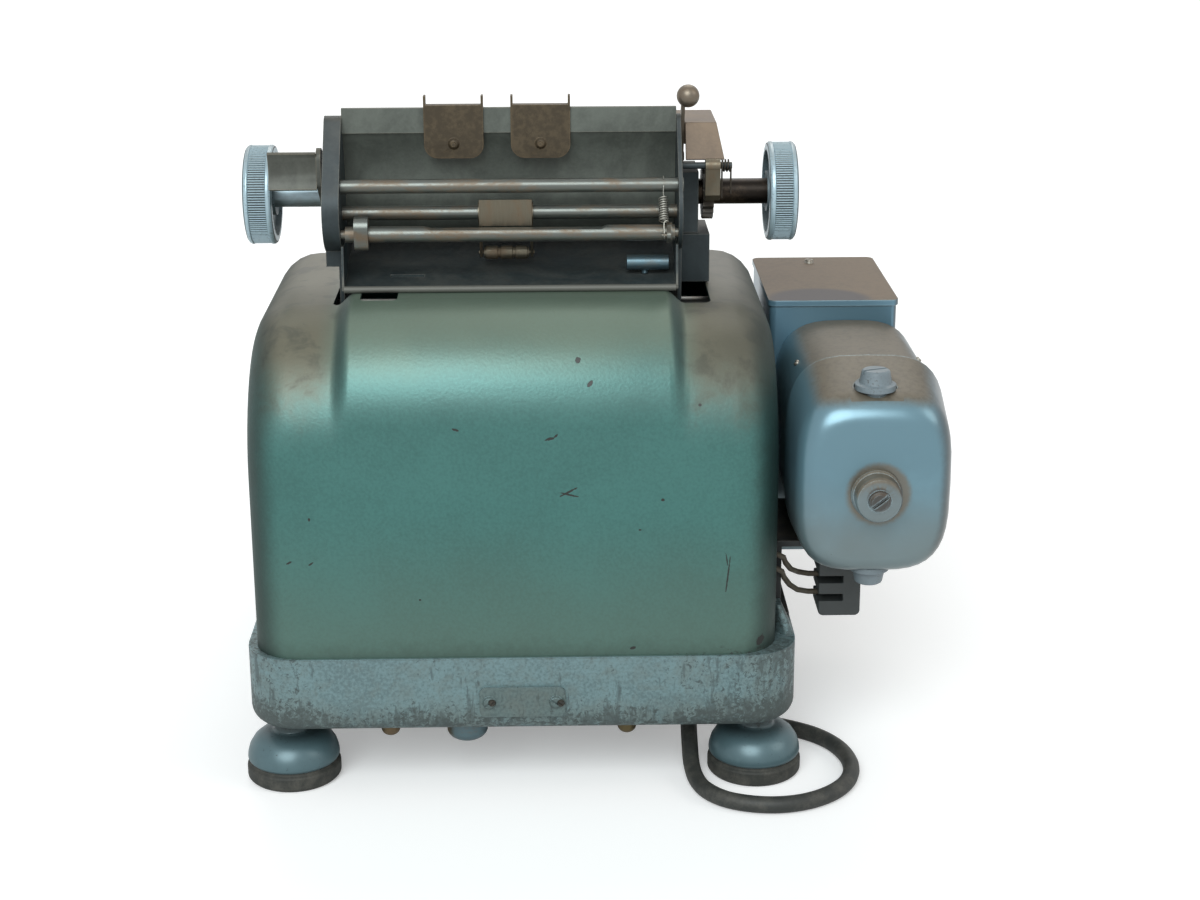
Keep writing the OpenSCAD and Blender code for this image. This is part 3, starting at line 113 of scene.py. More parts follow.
class Nodes:
    """The node tree of a material or a world."""

    prefix = "ShaderNode"

    def __init__(self, block):
        block.use_nodes = True
        self.tree = block.node_tree
        self.tree.nodes.clear()

    def node(self, kind, settings=None, inputs=None, output=0):
        """A new node's output: the settings are set first, then the values or links of the sockets."""
        made = self.tree.nodes.new(kind if "Node" in kind else self.prefix + kind)
        for key, value in (settings or {}).items():
            setattr(made, key, value)
        for key, value in (inputs or {}).items():
            self.plug(made.inputs[key], value)
        return Value(self, made.outputs[output])

    def plug(self, socket, value):
        """Gives a socket its value or its link, or a list of links."""
        if isinstance(value, list):
            for item in value:
                self.plug(socket, item)
        elif isinstance(value, Value):
            self.tree.links.new(value.socket, socket)
        else:
            socket.default_value = value

    def maths(self, operation, *values):
        """A Math node's result."""
        return self.node("ShaderNodeMath", {"operation": operation}, dict(enumerate(values)))

    def most(self, first, *others):
        """The greatest of some values."""
        for other in others:
            first = self.maths("MAXIMUM", first, other)
        return first

    def show(self, result, kind):
        """Links the result to a new output node and lays the nodes out from left to right."""
        self.plug(self.tree.nodes.new(kind).inputs[0], result)
        for i, made in enumerate(self.tree.nodes):
            made.location = (220 * (i % 12), -200 * (i // 12))


class Finish(Nodes):
    """A material whose base colour is laid on in layers."""

    def __init__(self, name):
        self.material = bpy.data.materials.new(name)
        super().__init__(self.material)
        self.surface = self.node("BsdfPrincipled")
        self.place = self.node("TexCoord", output="Object")

    def set(self, **values):
        """Settings of the surface, such as Base_Color or Roughness."""
        for key, value in values.items():
            self.plug(self.surface.socket.node.inputs[key.replace("_", " ")], value)

    def blend(self, first, second, mask):
        """A colour between two, by a mask from 0 to 1."""
        return self.node("Mix", {"data_type": "RGBA", "clamp_factor": True}, {0: mask, 6: first, 7: second}, 2)

    def start(self, colour, dark, light, mask):
        """The base colour, from a darker to a lighter shade of the given one."""
        self.base = self.blend(*shades(colour, dark, light), mask)

    def layer(self, colour, mask):
        """Another colour over the base colour."""
        self.base = self.blend(self.base, colour, mask)

    def capped(self, value):
        """The value, or 1 where it is more."""
        return self.maths("MINIMUM", value, 1.0)

    def noise(self, size, detail=3.0, rough=0.55, warp=0.0, stretch=(1, 1, 1)):
        """Smooth noise from 0 to 1, whose lumps are about size millimetres."""
        spot = self.node("Mapping", None, {"Vector": self.place, "Scale": stretch})
        return self.node("TexNoise", None, {"Vector": spot, "Scale": 1 / (size * MM), "Detail": detail,
                                            "Roughness": rough, "Distortion": warp})

    def step(self, value, low, high, to_low=0.0, to_high=1.0):
        """Goes smoothly from to_low to to_high as the value goes from low to high."""
        return self.node("MapRange", {"interpolation_type": "SMOOTHSTEP"},
                         {"Value": value, "From Min": low, "From Max": high, "To Min": to_low, "To Max": to_high})

    @functools.cache
    def axis(self, index):
        """The place along X, Y or Z, in millimetres from the middle of the base's rear face."""
        return (self.node("SeparateXYZ", None, {0: self.place}, index) - ORIGIN[index]) * (1 / MM)

    @functools.cache
    def facing(self, index):
        """How far the surface faces along X, Y or Z."""
        return self.node("SeparateXYZ", None, {0: self.node("NewGeometry", output="Normal")}, index)

    def edge(self, radius):
        """A mask of the edges, from how far a rounded normal leans off the real one."""
        rounded = self.node("Bevel", {"samples": 4}, {"Radius": radius * MM})
        normal = self.node("NewGeometry", output="Normal")
        lean = self.node("VectorMath", {"operation": "DOT_PRODUCT"}, {0: rounded, 1: normal}, "Value")
        return self.step(lean, 0.985, 0.86)

    def spot(self, place, width, height, lean, wobble):
        """A small mark on a wall that faces the rear: its half width, half height and lean."""
        place = (place - ORIGIN) / MM
        across, up = self.axis(0) - place.x, self.axis(2) - place.z
        c, s = math.cos(math.radians(lean)), math.sin(math.radians(lean))
        along = (across * c + up * s) / width
        out = (up * c - across * s) / height
        return self.step(along * along + out * out + wobble, 1.1, 0.7)

    def bump(self, height, strength, depth):
        """Small relief, whose depth is in millimetres."""
        self.set(Normal=self.node("Bump", None, {"Height": height, "Strength": strength, "Distance": depth * MM}))

    def done(self, shown=None):
        """The material, with its layers as the base colour."""
        self.set(Base_Color=self.base)
        self.show(shown or self.surface, "ShaderNodeOutputMaterial")
        return self.material


def shades(colour, dark, light):
    """A darker and a lighter colour beside the given one."""
    return [tuple(min(1, c * k) for c in colour[:3]) + (1,) for k in (dark, light)]


def hood_paint(colour, chips):
    """Green enamel with a fine grain, brown with dust and a painted warm reflection where it faces up, with painted
    shade on its sides and corners, and chipped here and there.
    """
    f = Finish("hood enamel")
    grain = f.noise(1.3, 2, 0.5)
    patch = f.noise(46, 4, 0.55, 0.3)
    fine = f.noise(5, 4, 0.65)
    blot = f.noise(14, 4, 0.6, 0.4)
    side = abs(f.axis(0) - HOOD_MIDDLE)
    up = f.facing(2)
    shoulder = f.step(up + 0.5 * (blot - 0.5), 0.1, 0.75) * f.step(side, 68, 84)
    # Darker at the top of the right shoulder
    right_top_dark = f.step(f.axis(0) + 20 * (blot - 0.5), 66, 96) * f.step(f.axis(2) + 30 * (patch - 0.5), 158, 200)
    low = f.step(f.axis(2) + 10 * fine, 82, 68)
    # Painted shade on the rounded corners at the sides
    corner_shade = f.step(side + 16 * (blot - 0.5), 101, 116) * f.step(up, 0.4, 0.0)
    wobble = 2.4 * (f.noise(1.3, 4, 0.75) - 0.5)
    chip = f.most(*[f.spot(seen("hood", across, down)[0], width, height, lean, wobble)
                    for across, down, width, height, lean in HOOD_CHIPS])
    chip = chip * f.step(f.facing(1), -0.3, -0.75) * chips
    rim = f.step(f.noise(3.4, 4, 0.7, 0.5) + 0.0012 * f.axis(0), 0.68, 0.74) * f.step(f.axis(2) + 9 * fine, 76, 69)
    wear = f.step(f.noise(2.6, 5, 0.75, 0.6), 0.62, 0.7) * f.step(side, 108, 117) * f.step(f.axis(2), 150, 70)
    worn = f.most(chip, rim, wear * 0.8)
    # Painted shade where the surface faces sideways; the same mask makes the paint rougher and thins the coat there
    side_shade = f.step(abs(f.facing(0)) + 0.1 * (blot - 0.5), 0.22, 0.85)
    f.start(colour, 0.86, 1.1, f.step(0.55 * patch + 0.6 * grain, 0.35, 0.8))
    # Dust and a painted warm reflection of the room, where the hood faces up
    f.layer(paint(118, 124, 104), f.step(up + 0.25 * (patch - 0.5), 0.35, 0.85) * 0.6)
    # Brown on the upper shoulders: dust and a painted warm reflection
    f.layer(paint(98, 90, 72), shoulder * 0.8)
    f.layer(paint(58, 62, 52), shoulder * f.step(blot, 0.5, 0.66) * 0.6)
    f.layer(paint(56, 56, 44), right_top_dark * 0.6)
    f.layer(paint(98, 110, 97), f.step(f.axis(2) + 22 * (patch - 0.5), 140, 62) * 0.5)
    # Darker towards the bottom, and painted shade on the side corners
    f.layer(paint(52, 66, 58), f.capped(low * 0.45 + corner_shade * 0.42))
    # Painted shade on the sides
    f.layer(paint(30, 44, 42), side_shade * 0.72)
    f.layer(paint(33, 35, 33), worn)
    f.set(Metallic=f.most(0.42 - 0.4 * worn, 0),
          Roughness=f.step(patch, 0.3, 0.7, 0.37, 0.41) + 0.22 * worn + 0.12 * shoulder + 0.15 * side_shade,
          Coat_Weight=0.55 * (1 - side_shade) * f.step(up, -0.02, 0.3), Coat_Roughness=0.5)
    f.bump(0.6 * grain - 1.2 * worn, 0.5, 0.26)
    return f.done()


# The hood's middle from the base's, in millimetres
HOOD_MIDDLE = -3.5
# Chips in the hood's enamel: place in the frame, half width and half height in millimetres, lean in degrees
HOOD_CHIPS = [
    (578, 360, 1.3, 1.1, 0), (590, 384, 1.6, 0.8, 50), (455, 430, 1.7, 0.5, -20), (550, 439, 2.2, 0.7, 15),
    (556, 436, 1.1, 0.5, 40), (569, 492, 4.4, 0.5, 28), (570, 495, 4.6, 0.4, -14), (663, 500, 0.8, 0.6, 0),
    (309, 520, 0.5, 0.9, 0), (289, 563, 1.5, 0.5, 30), (311, 564, 1.4, 0.4, 35), (728, 575, 0.35, 9.0, -6),
    (727, 560, 0.3, 3.0, 10), (760, 640, 1.7, 2.6, -30), (633, 648, 1.4, 0.8, 10), (700, 405, 0.7, 0.6, 0),
    (640, 530, 0.6, 0.4, 0), (420, 600, 0.6, 0.5, 0)]


def cast_paint(name, colour, dirt=0.5, radius=1.2, low=(50, 36)):
    """Hammered enamel on a casting, stained, streaked and rubbed dark at its edges, with a painted highlight on the
    edges that face up.
    """
    f = Finish(name)
    grain = f.noise(1.4, 3, 0.6)
    speck = f.noise(2.4, 6, 0.78, 0.5)
    patch = f.noise(34, 4, 0.6, 0.5)
    blot = f.noise(9, 5, 0.7, 0.6)
    streak = f.noise(4.5, 5, 0.7, 0.2, (1, 1, 0.22))
    hammer = f.node("TexVoronoi", {"feature": "SMOOTH_F1"}, {"Vector": f.place, "Scale": 480.0}, "Distance")
    bottom = f.step(f.axis(2) + 14 * (blot - 0.5), *low)
    ends = f.step(abs(f.axis(0)), 60, 122)
    right = f.step(f.axis(0), 30, 110)
    amount = 0.12 * bottom + 0.06 * ends + 0.05 * right + 0.3 * (patch - 0.5)
    film = f.step(blot + amount, 0.42, 0.7) * 0.75
    fleck = f.step(speck + 1.1 * amount, 0.6, 0.68)
    drip = f.step(streak + 0.9 * amount, 0.57, 0.68) * 0.75
    rub = f.edge(radius) * f.step(speck, 0.36, 0.56)
    # Painted highlight along the edges that face up
    bright = f.edge(radius) * f.step(f.facing(2), 0.1, 0.6)
    stain = f.capped(f.most(f.most(fleck, drip) * dirt * 1.4, rub * (1 - bright) * 0.6))
    f.start(colour, 0.8, 1.2, f.step(grain + 0.7 * patch, 0.6, 1.0))
    # Painted highlight on the upper edges
    f.layer(paint(176, 206, 214), bright * 0.9)
    f.layer(paint(102, 108, 102), f.capped(film + bottom * 0.3) * dirt)
    f.layer(paint(40, 43, 41), stain)
    f.set(Metallic=0.35 - 0.3 * stain, Roughness=0.42 + 0.25 * stain, Coat_Weight=0.06, Coat_Roughness=0.35)
    f.bump(0.7 * hammer + 0.4 * grain - 0.6 * stain, 0.3, 0.2)
    return f.done()


def foot_paint(colour):
    """Smooth enamel on the pressed cups, darker on top with a painted shadow of the base above."""
    f = Finish("foot enamel")
    patch = f.noise(7, 4, 0.6, 0.4)
    speck = f.noise(1.6, 5, 0.75)
    # The cups' tops, where a painted shadow of the base falls
    top = f.step(f.axis(2) + 4 * (patch - 0.5), 19, 26)
    worn = f.step(speck + 0.1 * top, 0.62, 0.7) * 0.7
    f.start(colour, 0.85, 1.15, patch)
    # Painted shadow of the base
    f.layer(paint(46, 50, 48), top * 0.8)
    f.layer(paint(38, 38, 36), worn)
    f.set(Metallic=0.3, Roughness=0.36 + 0.2 * worn, Coat_Weight=0.1, Coat_Roughness=0.25)
    f.bump(0.3 * speck - 0.6 * worn, 0.2, 0.15)
    return f.done()


def motor_paint(name, colour, dust, dusty=1.0, low=0.2, ring=None, marks=()):
    """Smooth enamel, greyer low down, with brown dust on what faces up, a dark stain at ring and round marks, a painted
    highlight on the rear edges and painted shade on the right side.
    """
    f = Finish(name)
    patch = f.noise(30, 4, 0.55, 0.4)
    speck = f.noise(1.2, 4, 0.7)
    grain = f.noise(2.4, 4, 0.7)
    up = f.step(f.facing(2) + 0.22 * (patch - 0.5) + 0.1 * (grain - 0.5), low, low + 0.32) * dusty
    f.start(colour, 0.84, 1.12, f.step(patch + 0.006 * (110 - f.axis(2)), 0.2, 0.8))
    f.layer(paint(112, 120, 118), f.step(f.axis(2) + 16 * (patch - 0.5), 152, 112) * 0.75)
    f.layer(f.blend(*shades(dust, 1, 0.72), f.step(grain + 0.4 * patch, 0.6, 0.95)), up * 0.95)
    if ring:
        x, y, wide, deep = ring
        across, along = (f.axis(0) - x) / wide, (f.axis(1) - y) / deep
        stain = f.step(across * across + along * along + 0.5 * (grain - 0.5), 1.25, 0.7) * up
        f.layer(paint(52, 50, 54), stain * 0.8)
    for place, radius, brown, strength in marks:
        f.layer(brown, f.spot(place, radius, radius, 0, 0.3 * (grain - 0.5)) * strength)
    # Painted highlight along the edges that face the rear
    f.layer(paint(186, 214, 224), f.edge(1.2) * f.step(f.facing(1), 0.1, -0.4) * 0.6)
    # Painted shade on the side that faces right
    f.layer(paint(62, 60, 56), f.step(f.facing(0) + 0.2 * (grain - 0.5), 0.25, 0.9) * 0.75)
    dark = f.most(f.edge(0.9) * f.step(speck, 0.4, 0.6) * 0.5, f.step(speck + 0.25 * patch, 0.86, 0.9))
    f.layer(paint(44, 42, 40), dark)
    f.set(Metallic=0.42 - 0.3 * up, Roughness=0.28 + 0.22 * up + 0.2 * dark, Coat_Weight=0.4 * (1 - up),
          Coat_Roughness=0.3)
    f.bump(0.3 * speck + 0.2 * up * grain - 0.5 * dark, 0.15, 0.1)
    return f.done()


def worn_steel(name, colour, rust=0.4, metallic=0.85, rough=0.34, grain_axis=0, band=None):
    """Bare metal with a brown film, pits and fine drawn lines; band has another colour from one X to a second one."""
    f = Finish(name)
    stretch = [1.0, 1.0, 1.0]
    stretch[grain_axis] = 0.05
    lines = f.noise(0.5, 3, 0.6, 0.0, tuple(stretch))
    film = f.noise(12, 5, 0.7, 0.6, tuple(0.4 + 0.6 * k for k in stretch))
    speck = f.noise(1.3, 5, 0.78)
    brown = f.step(film + 0.35 * (speck - 0.5), 0.42, 0.72) * rust
    pits = f.step(speck, 0.66, 0.72) * rust
    f.start(colour, 0.78, 1.15, lines)
    if band:
        other, left, right = band
        f.layer(other, f.step(f.axis(0), left - 2, left + 2) * f.step(f.axis(0), right + 2, right - 2))
    f.layer(paint(112, 94, 74), brown)
    f.layer(paint(38, 34, 30), pits)
    f.set(Metallic=metallic - 0.35 * brown - 0.4 * pits, Roughness=rough + 0.2 * brown + 0.1 * lines)
    f.bump(0.4 * lines + 0.5 * brown - 0.8 * pits, 0.14, 0.08)
    return f.done()


def dark_sheet(name, colour, rubbed, wear=0.6, rough=0.42, dusty=0.35, grain=1.4, mottle=0.3, rear_to=0):
    """Blackened sheet metal, rubbed bright at the edges and dusty on top; lighter as far as rear_to from the rear, with
    metal worn through and painted light on the lip.
    """
    f = Finish(name)
    patch = f.noise(22, 5, 0.65, 0.7)
    speck = f.noise(grain, 4, 0.7)
    streak = f.noise(7, 4, 0.6, 0.3, (1, 1, 0.12))
    rub = f.edge(0.7) * f.step(speck + 0.4 * patch, 0.42, 0.72) * wear
    dust = f.step(f.facing(2), 0.3, 0.95) * f.step(patch, 0.3, 0.7) * dusty
    f.start(colour, 0.78, 1.24, f.step(patch + 0.3 * (streak - 0.5) + mottle * (speck - 0.5), 0.3, 0.72))
    f.layer(paint(124, 114, 100), dust)
    if rear_to:
        # Rubbed metal with painted light on the lip at the rear; the rubbed colour stands for both here
        lit_bare_lip = f.step(f.axis(1) + 1.5 * (speck - 0.5), rear_to + 0.6, rear_to - 0.6)
        f.layer(rubbed, lit_bare_lip * f.step(patch, 0.2, 0.45, 0.5, 0.9))
    f.layer(rubbed, rub)
    f.set(Metallic=0.35, Roughness=rough + 0.16 * patch + 0.2 * dust)
    f.bump(0.5 * speck - 0.4 * rub, 0.15, 0.08)
    return f.done()


def rubber(name, colour, dusty=0.3, rough=0.62):
    """Black rubber or cloth with a film of dust."""
    f = Finish(name)
    speck = f.noise(0.7, 3, 0.6)
    dust = f.step(f.noise(8, 4, 0.65) + 0.3 * speck, 0.5, 0.95) * dusty
    f.base = f.blend(colour, paint(112, 108, 100), dust)
    f.set(Roughness=rough + 0.2 * dust, Specular_IOR_Level=0.35)
    f.bump(speck, 0.25, 0.1)
    return f.done()


def moulded(name, colour, rough=0.3, dirt=0.35):
    """Moulded plastic with dirt in its corners."""
    f = Finish(name)
    patch = f.noise(14, 4, 0.6, 0.5)
    speck = f.noise(1.0, 4, 0.7)
    soil = f.step(speck + 0.3 * patch, 0.72, 0.9) * dirt
    f.start(colour, 0.86, 1.1, f.step(patch, 0.3, 0.7))
    f.layer(paint(60, 55, 48), soil)
    f.set(Roughness=rough + 0.15 * patch + 0.2 * soil, Coat_Weight=0.1, Coat_Roughness=0.2)
    f.bump(speck, 0.06, 0.05)
    return f.done()


def knob_paint(colour, middle):
    """Pale plastic with painted shade between the ribs and on the recessed end faces, and specks of dirt, round an axis
    through the given point.
    """
    f = Finish("knob plastic")
    patch = f.noise(14, 4, 0.6, 0.5)
    speck = f.noise(1.1, 5, 0.75)
    y, z = f.axis(1) - (middle.y - ORIGIN.y) / MM, f.axis(2) - middle.z / MM
    out = f.maths("SQRT", y * y + z * z)
    # Painted shade between the ribs
    groove = f.step(out, 21.75, 21.45) * f.step(out, 20.9, 21.1)
    # Painted shade on the recessed end faces
    dish = f.step(out, 19.5, 18.3)
    soil = f.step(speck + 0.3 * patch, 0.68, 0.86) * 0.5
    # Painted shade together with specks of dirt
    shade_and_soil = f.capped(groove * 0.95 + dish * 0.6 + soil)
    f.start(colour, 0.86, 1.12, patch)
    f.layer(paint(120, 108, 92), f.step(f.facing(2), 0.4, 0.95) * 0.35)
    f.layer(paint(46, 52, 54), shade_and_soil)
    f.set(Metallic=0.25, Roughness=0.3 + 0.2 * shade_and_soil, Coat_Weight=0.1, Coat_Roughness=0.2)
    f.bump(speck, 0.08, 0.05)
    return f.done()


# Meshes


def placed(name, data):
    """A new object in the scene."""
    thing = bpy.data.objects.new(name, data)
    bpy.context.scene.collection.objects.link(thing)
    return thing


def painted(mesh, material):
    """Gives a mesh its one material."""
    mesh.materials.clear()
    mesh.materials.append(material)


def link(name, mesh, material, smooth=35.0):
    """A finished piece from a mesh that is in place already."""
    piece = placed(name, mesh)
    painted(mesh, material)
    if smooth:
        mesh.shade_smooth()
        mesh.set_sharp_from_angle(angle=math.radians(smooth))
    return piece


class Tree(Nodes):
    """A Geometry Nodes tree with named inputs."""

    prefix = "GeometryNode"

    def __init__(self, name, **sizes):
        self.tree = bpy.data.node_groups.new(name, "GeometryNodeTree")
        self.tree.is_modifier = True
        sockets = self.tree.interface
        sockets.new_socket("Geometry", in_out="INPUT", socket_type="NodeSocketGeometry")
        for label, value in {**sizes, "Material": None}.items():
            kind = {float: "Float", int: "Int", tuple: "Vector"}.get(type(value), "Material")
            made = sockets.new_socket(label, in_out="INPUT", socket_type="NodeSocket" + kind)
            if value is not None:
                made.default_value = value
        sockets.new_socket("Geometry", in_out="OUTPUT", socket_type="NodeSocketGeometry")
        self.inlet = self.tree.nodes.new("NodeGroupInput")

    def size(self, label):
        """One of the tree's inputs."""
        return Value(self, self.inlet.outputs[label])

    def finish(self, geometry):
        """The tree, which ends in this geometry made real and given its material."""
        real = self.node("RealizeInstances", None, {"Geometry": geometry})
        self.show(self.node("SetMaterial", None, {"Geometry": real, "Material": self.size("Material")}),
                  "NodeGroupOutput")
        return self.tree


def grown(name, tree, source, material, slot, smooth=40.0, **sizes):
    """The plain mesh that a tree makes of the data in source."""
    holder = placed(name + "_source", source)
    change = holder.modifiers.new("Grow", "NODES")
    change.node_group = tree
    values = {**sizes, "Material": material}
    for socket in tree.interface.items_tree:
        if socket.in_out == "INPUT" and socket.name in values:
            change[socket.identifier] = values[socket.name]
    graph = bpy.context.evaluated_depsgraph_get()
    mesh = bpy.data.meshes.new_from_object(holder.evaluated_get(graph), depsgraph=graph)
    holder.modifiers.remove(change)
    bpy.data.objects.remove(holder)
    if not mesh.polygons:
        raise RuntimeError("nothing grew for " + name)
    mesh.name = name
    return link(name, mesh, material, smooth)


def path_curve(name, *paths):
    """A curve with one line through the points of each path."""
    curve = bpy.data.curves.new(name, "CURVE")
    curve.dimensions = "3D"
    for path in paths:
        spline = curve.splines.new("POLY")
        spline.points.add(len(path) - 1)
        for point, place in zip(spline.points, path):
            point.co = (*place, 1)
    return curve


def smooth_path(points, steps=4):
    """More points, on a curve that runs smoothly through the given ones."""
    ends = [points[0] * 2 - points[1], *points, points[-1] * 2 - points[-2]]
    path = []
    for a, b, c, d in zip(ends, ends[1:], ends[2:], ends[3:]):
        for i in range(steps):
            t = i / steps
            path.append(0.5 * (2 * b + (c - a) * t + (2 * a - 5 * b + 4 * c - d) * t * t
                               + (3 * b - 3 * c + d - a) * t ** 3))
    return path + [points[-1]]


def wire_tree():
    """A round wire along every line of a curve."""
    t = Tree("wire along a path", Diameter=0.0075, Step=0.002, Sides=14)
    line = t.node("ResampleCurve", {"mode": "LENGTH"}, {"Curve": t.size("Geometry"), "Length": t.size("Step")})
    ring = t.node("CurvePrimitiveCircle", {"mode": "RADIUS"},
                  {"Resolution": t.size("Sides"), "Radius": t.size("Diameter") * 0.5})
    return t.finish(t.node("CurveToMesh", None, {"Curve": line, "Profile Curve": ring, "Fill Caps": True}))


def ribs_tree():
    """Small round ribs that lie side by side round two rings, whose axis is X."""
    t = Tree("ribs round two rings", Left=(0.0, 0.0, 0.0), Right=(0.0, 0.0, 0.0), Radius=0.0217, Length=0.008,
             Ribs=120, Rib=0.0008)
    to_side = (0, math.pi / 2, 0)
    rib = t.node("MeshCylinder", {"fill_type": "TRIANGLE_FAN"},
                 {"Vertices": 6, "Radius": t.size("Rib") * 0.5, "Depth": t.size("Length")})
    lying = t.node("Transform", None, {"Geometry": rib, "Rotation": to_side})
    ring = t.node("MeshCircle", None, {"Vertices": t.size("Ribs"), "Radius": t.size("Radius")})
    both = t.node("JoinGeometry", None, {0: [
        t.node("Transform", None, {"Geometry": ring, "Translation": t.size(side), "Rotation": to_side})
        for side in ("Left", "Right")]})
    return t.finish(t.node("InstanceOnPoints", None, {"Points": both, "Instance": lying}))


def screws_tree():
    """Slotted screw heads on points, each turned as its point says."""
    t = Tree("slotted screw heads", Diameter=0.004, Height=0.0012, Slot=0.0006)
    wide, high = t.size("Diameter"), t.size("Height")
    head = t.node("MeshCone", {"fill_type": "TRIANGLE_FAN"},
                  {"Vertices": 24, "Side Segments": 2, "Radius Top": wide * 0.38, "Radius Bottom": wide * 0.5,
                   "Depth": high})
    size = t.node("ShaderNodeCombineXYZ", None, {"X": wide * 1.2, "Y": t.size("Slot"), "Z": high})
    up = t.node("ShaderNodeCombineXYZ", None, {"Z": high * 1.05})
    slot = t.node("Transform", None, {"Geometry": t.node("MeshCube", None, {"Size": size}), "Translation": up})
    cut = t.node("MeshBoolean", {"operation": "DIFFERENCE"}, {"Mesh 1": head, "Mesh 2": slot})
    turn = t.node("InputNamedAttribute", {"data_type": "FLOAT_VECTOR"}, {"Name": "turn"})
    face = t.node("FunctionNodeEulerToRotation", None, {"Euler": turn})
    return t.finish(t.node("InstanceOnPoints", None,
                           {"Points": t.size("Geometry"), "Instance": cut, "Rotation": face}))


def screws(name, places, material, diameter, height):
    """Steel screw heads at (place, outward, turn in degrees)."""
    mesh = bpy.data.meshes.new(name + "_points")
    mesh.from_pydata([tuple(place) for place, outward, turn in places], [], [])
    turns = mesh.attributes.new("turn", "FLOAT_VECTOR", "POINT")
    for item, (place, outward, turn) in zip(turns.data, places):
        item.vector = (outward.to_track_quat("Z", "Y").to_matrix().to_4x4()
                       @ Matrix.Rotation(math.radians(turn), 4, "Z")).to_euler()
    piece = grown(name, screws_tree(), mesh, material, "steel", 30, Diameter=diameter * MM, Height=height * MM,
                  Slot=diameter * 0.16 * MM)
    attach(piece, "machine")


# The shapes of the CAD nodes that rays were cast at
SHAPES = {}


def seen(node, across, down):
    """Where the camera's ray through a point of the 1200 x 900 frame meets a CAD node, and which way that faces."""
    camera = bpy.context.scene.camera
    bpy.context.view_layer.update()
    wide, high = 1200, 900
    scale = camera.data.sensor_width / camera.data.lens / wide
    ray = camera.matrix_world.to_3x3() @ Vector(((across - wide / 2) * scale, (high / 2 - down) * scale, -1))
    if node not in SHAPES:
        mesh = NODES[node].data
        SHAPES[node] = BVHTree.FromPolygons([v.co for v in mesh.vertices], [tuple(f.vertices) for f in mesh.polygons])
    place, normal = SHAPES[node].ray_cast(camera.matrix_world.translation, ray.normalized())[:2]
    if place is None:
        raise RuntimeError("nothing of " + node + " is seen there")
    return place, normal


def turned(name, profile, places, sides=96):
    """Closed bodies turned about X: profile gives (radius, distance out), places give (centre, -1 or 1)."""
    form = bmesh.new()
    for centre, side in places:
        rings = []
        for radius, out in profile:
            if radius < 1e-6:
                rings.append([form.verts.new(centre + Vector((side * out, 0, 0)) * MM)])
                continue
            rings.append([form.verts.new(centre + Vector((side * out, radius * math.cos(a), radius * math.sin(a))) * MM)
                          for a in (2 * math.pi * k / sides for k in range(sides))])
        for low, high in zip(rings, rings[1:]):
            for k in range(sides):
                corners = [low[k % len(low)], low[(k + 1) % len(low)], high[(k + 1) % len(high)], high[k % len(high)]]
                form.faces.new(list(dict.fromkeys(corners)))
    bmesh.ops.recalc_face_normals(form, faces=form.faces)
    return as_mesh(form, name)


def as_mesh(form, name):
    """The mesh of a form, which is freed."""
    mesh = bpy.data.meshes.new(name)
    form.to_mesh(mesh)
    form.free()
    return mesh


def refilled(form):
    """Fills anew the upright walls whose triangles fold over one another, so that no web spans a hollow."""
    square, wall_step, smallest, least_fold = 0.9999, 0.05 * MM, 1e-6 * MM ** 2, 5 * MM ** 2
    walls = {}
    for face in form.faces:
        if abs(face.normal.x) > square and face.calc_area() > smallest:
            walls.setdefault(round(face.calc_center_median().x / wall_step), []).append(face)
    for faces in walls.values():
        sides = [sum(f.calc_area() for f in faces if f.normal.x * side > 0) for side in (-1, 1)]
        if min(sides) < least_fold:
            continue
        inside = set(faces)
        rim = [edge for edge in {e for f in faces for e in f.edges} if len(inside.intersection(edge.link_faces)) == 1]
        bmesh.ops.delete(form, geom=faces, context="FACES")
        bmesh.ops.triangle_fill(form, use_beauty=True, edges=[e for e in rim if e.is_valid],
                                normal=Vector((sides[1] - sides[0], 0, 0)).normalized())
    bmesh.ops.recalc_face_normals(form, faces=form.faces)


def merged(node, flat):
    """A copy of a CAD node's mesh, with its loose triangles joined and, if flat, its flat faces made whole."""
    form = bmesh.new()
    form.from_mesh(NODES[node].data)
    bmesh.ops.remove_doubles(form, verts=form.verts, dist=0.002 * MM)
    if node == "hood":
        refilled(form)
    if flat:
        bmesh.ops.dissolve_limit(form, angle_limit=math.radians(0.1), verts=form.verts, edges=form.edges)
    return as_mesh(form, node + "_finished")


def dressed(node, material, round_by=0.3, smooth=32.0):
    """The finished form of a CAD node, on the node's body: its edges are rounded and its curved faces run smoothly."""
    piece = link(node + "_finish", merged(node, round_by > 0), material, smooth)
    if round_by:
        turn = piece.modifiers.new("Rounded edges", "BEVEL")
        turn.width = round_by * MM
        turn.segments = 2
        turn.limit_method = "ANGLE"
        turn.angle_limit = math.radians(smooth)
        turn.harden_normals = True
        turn.use_clamp_overlap = True
    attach(piece, BODY_OF[node])
    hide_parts(node)
    return piece


# Sizes and colours that a user would change


def colour_setting(name, description, *default):
    """A property that holds a colour, whose default is written as 0 to 255."""
    return bpy.props.FloatVectorProperty(name=name, description=description, subtype="COLOR", size=4, min=0, max=1,
                                         default=paint(*default))


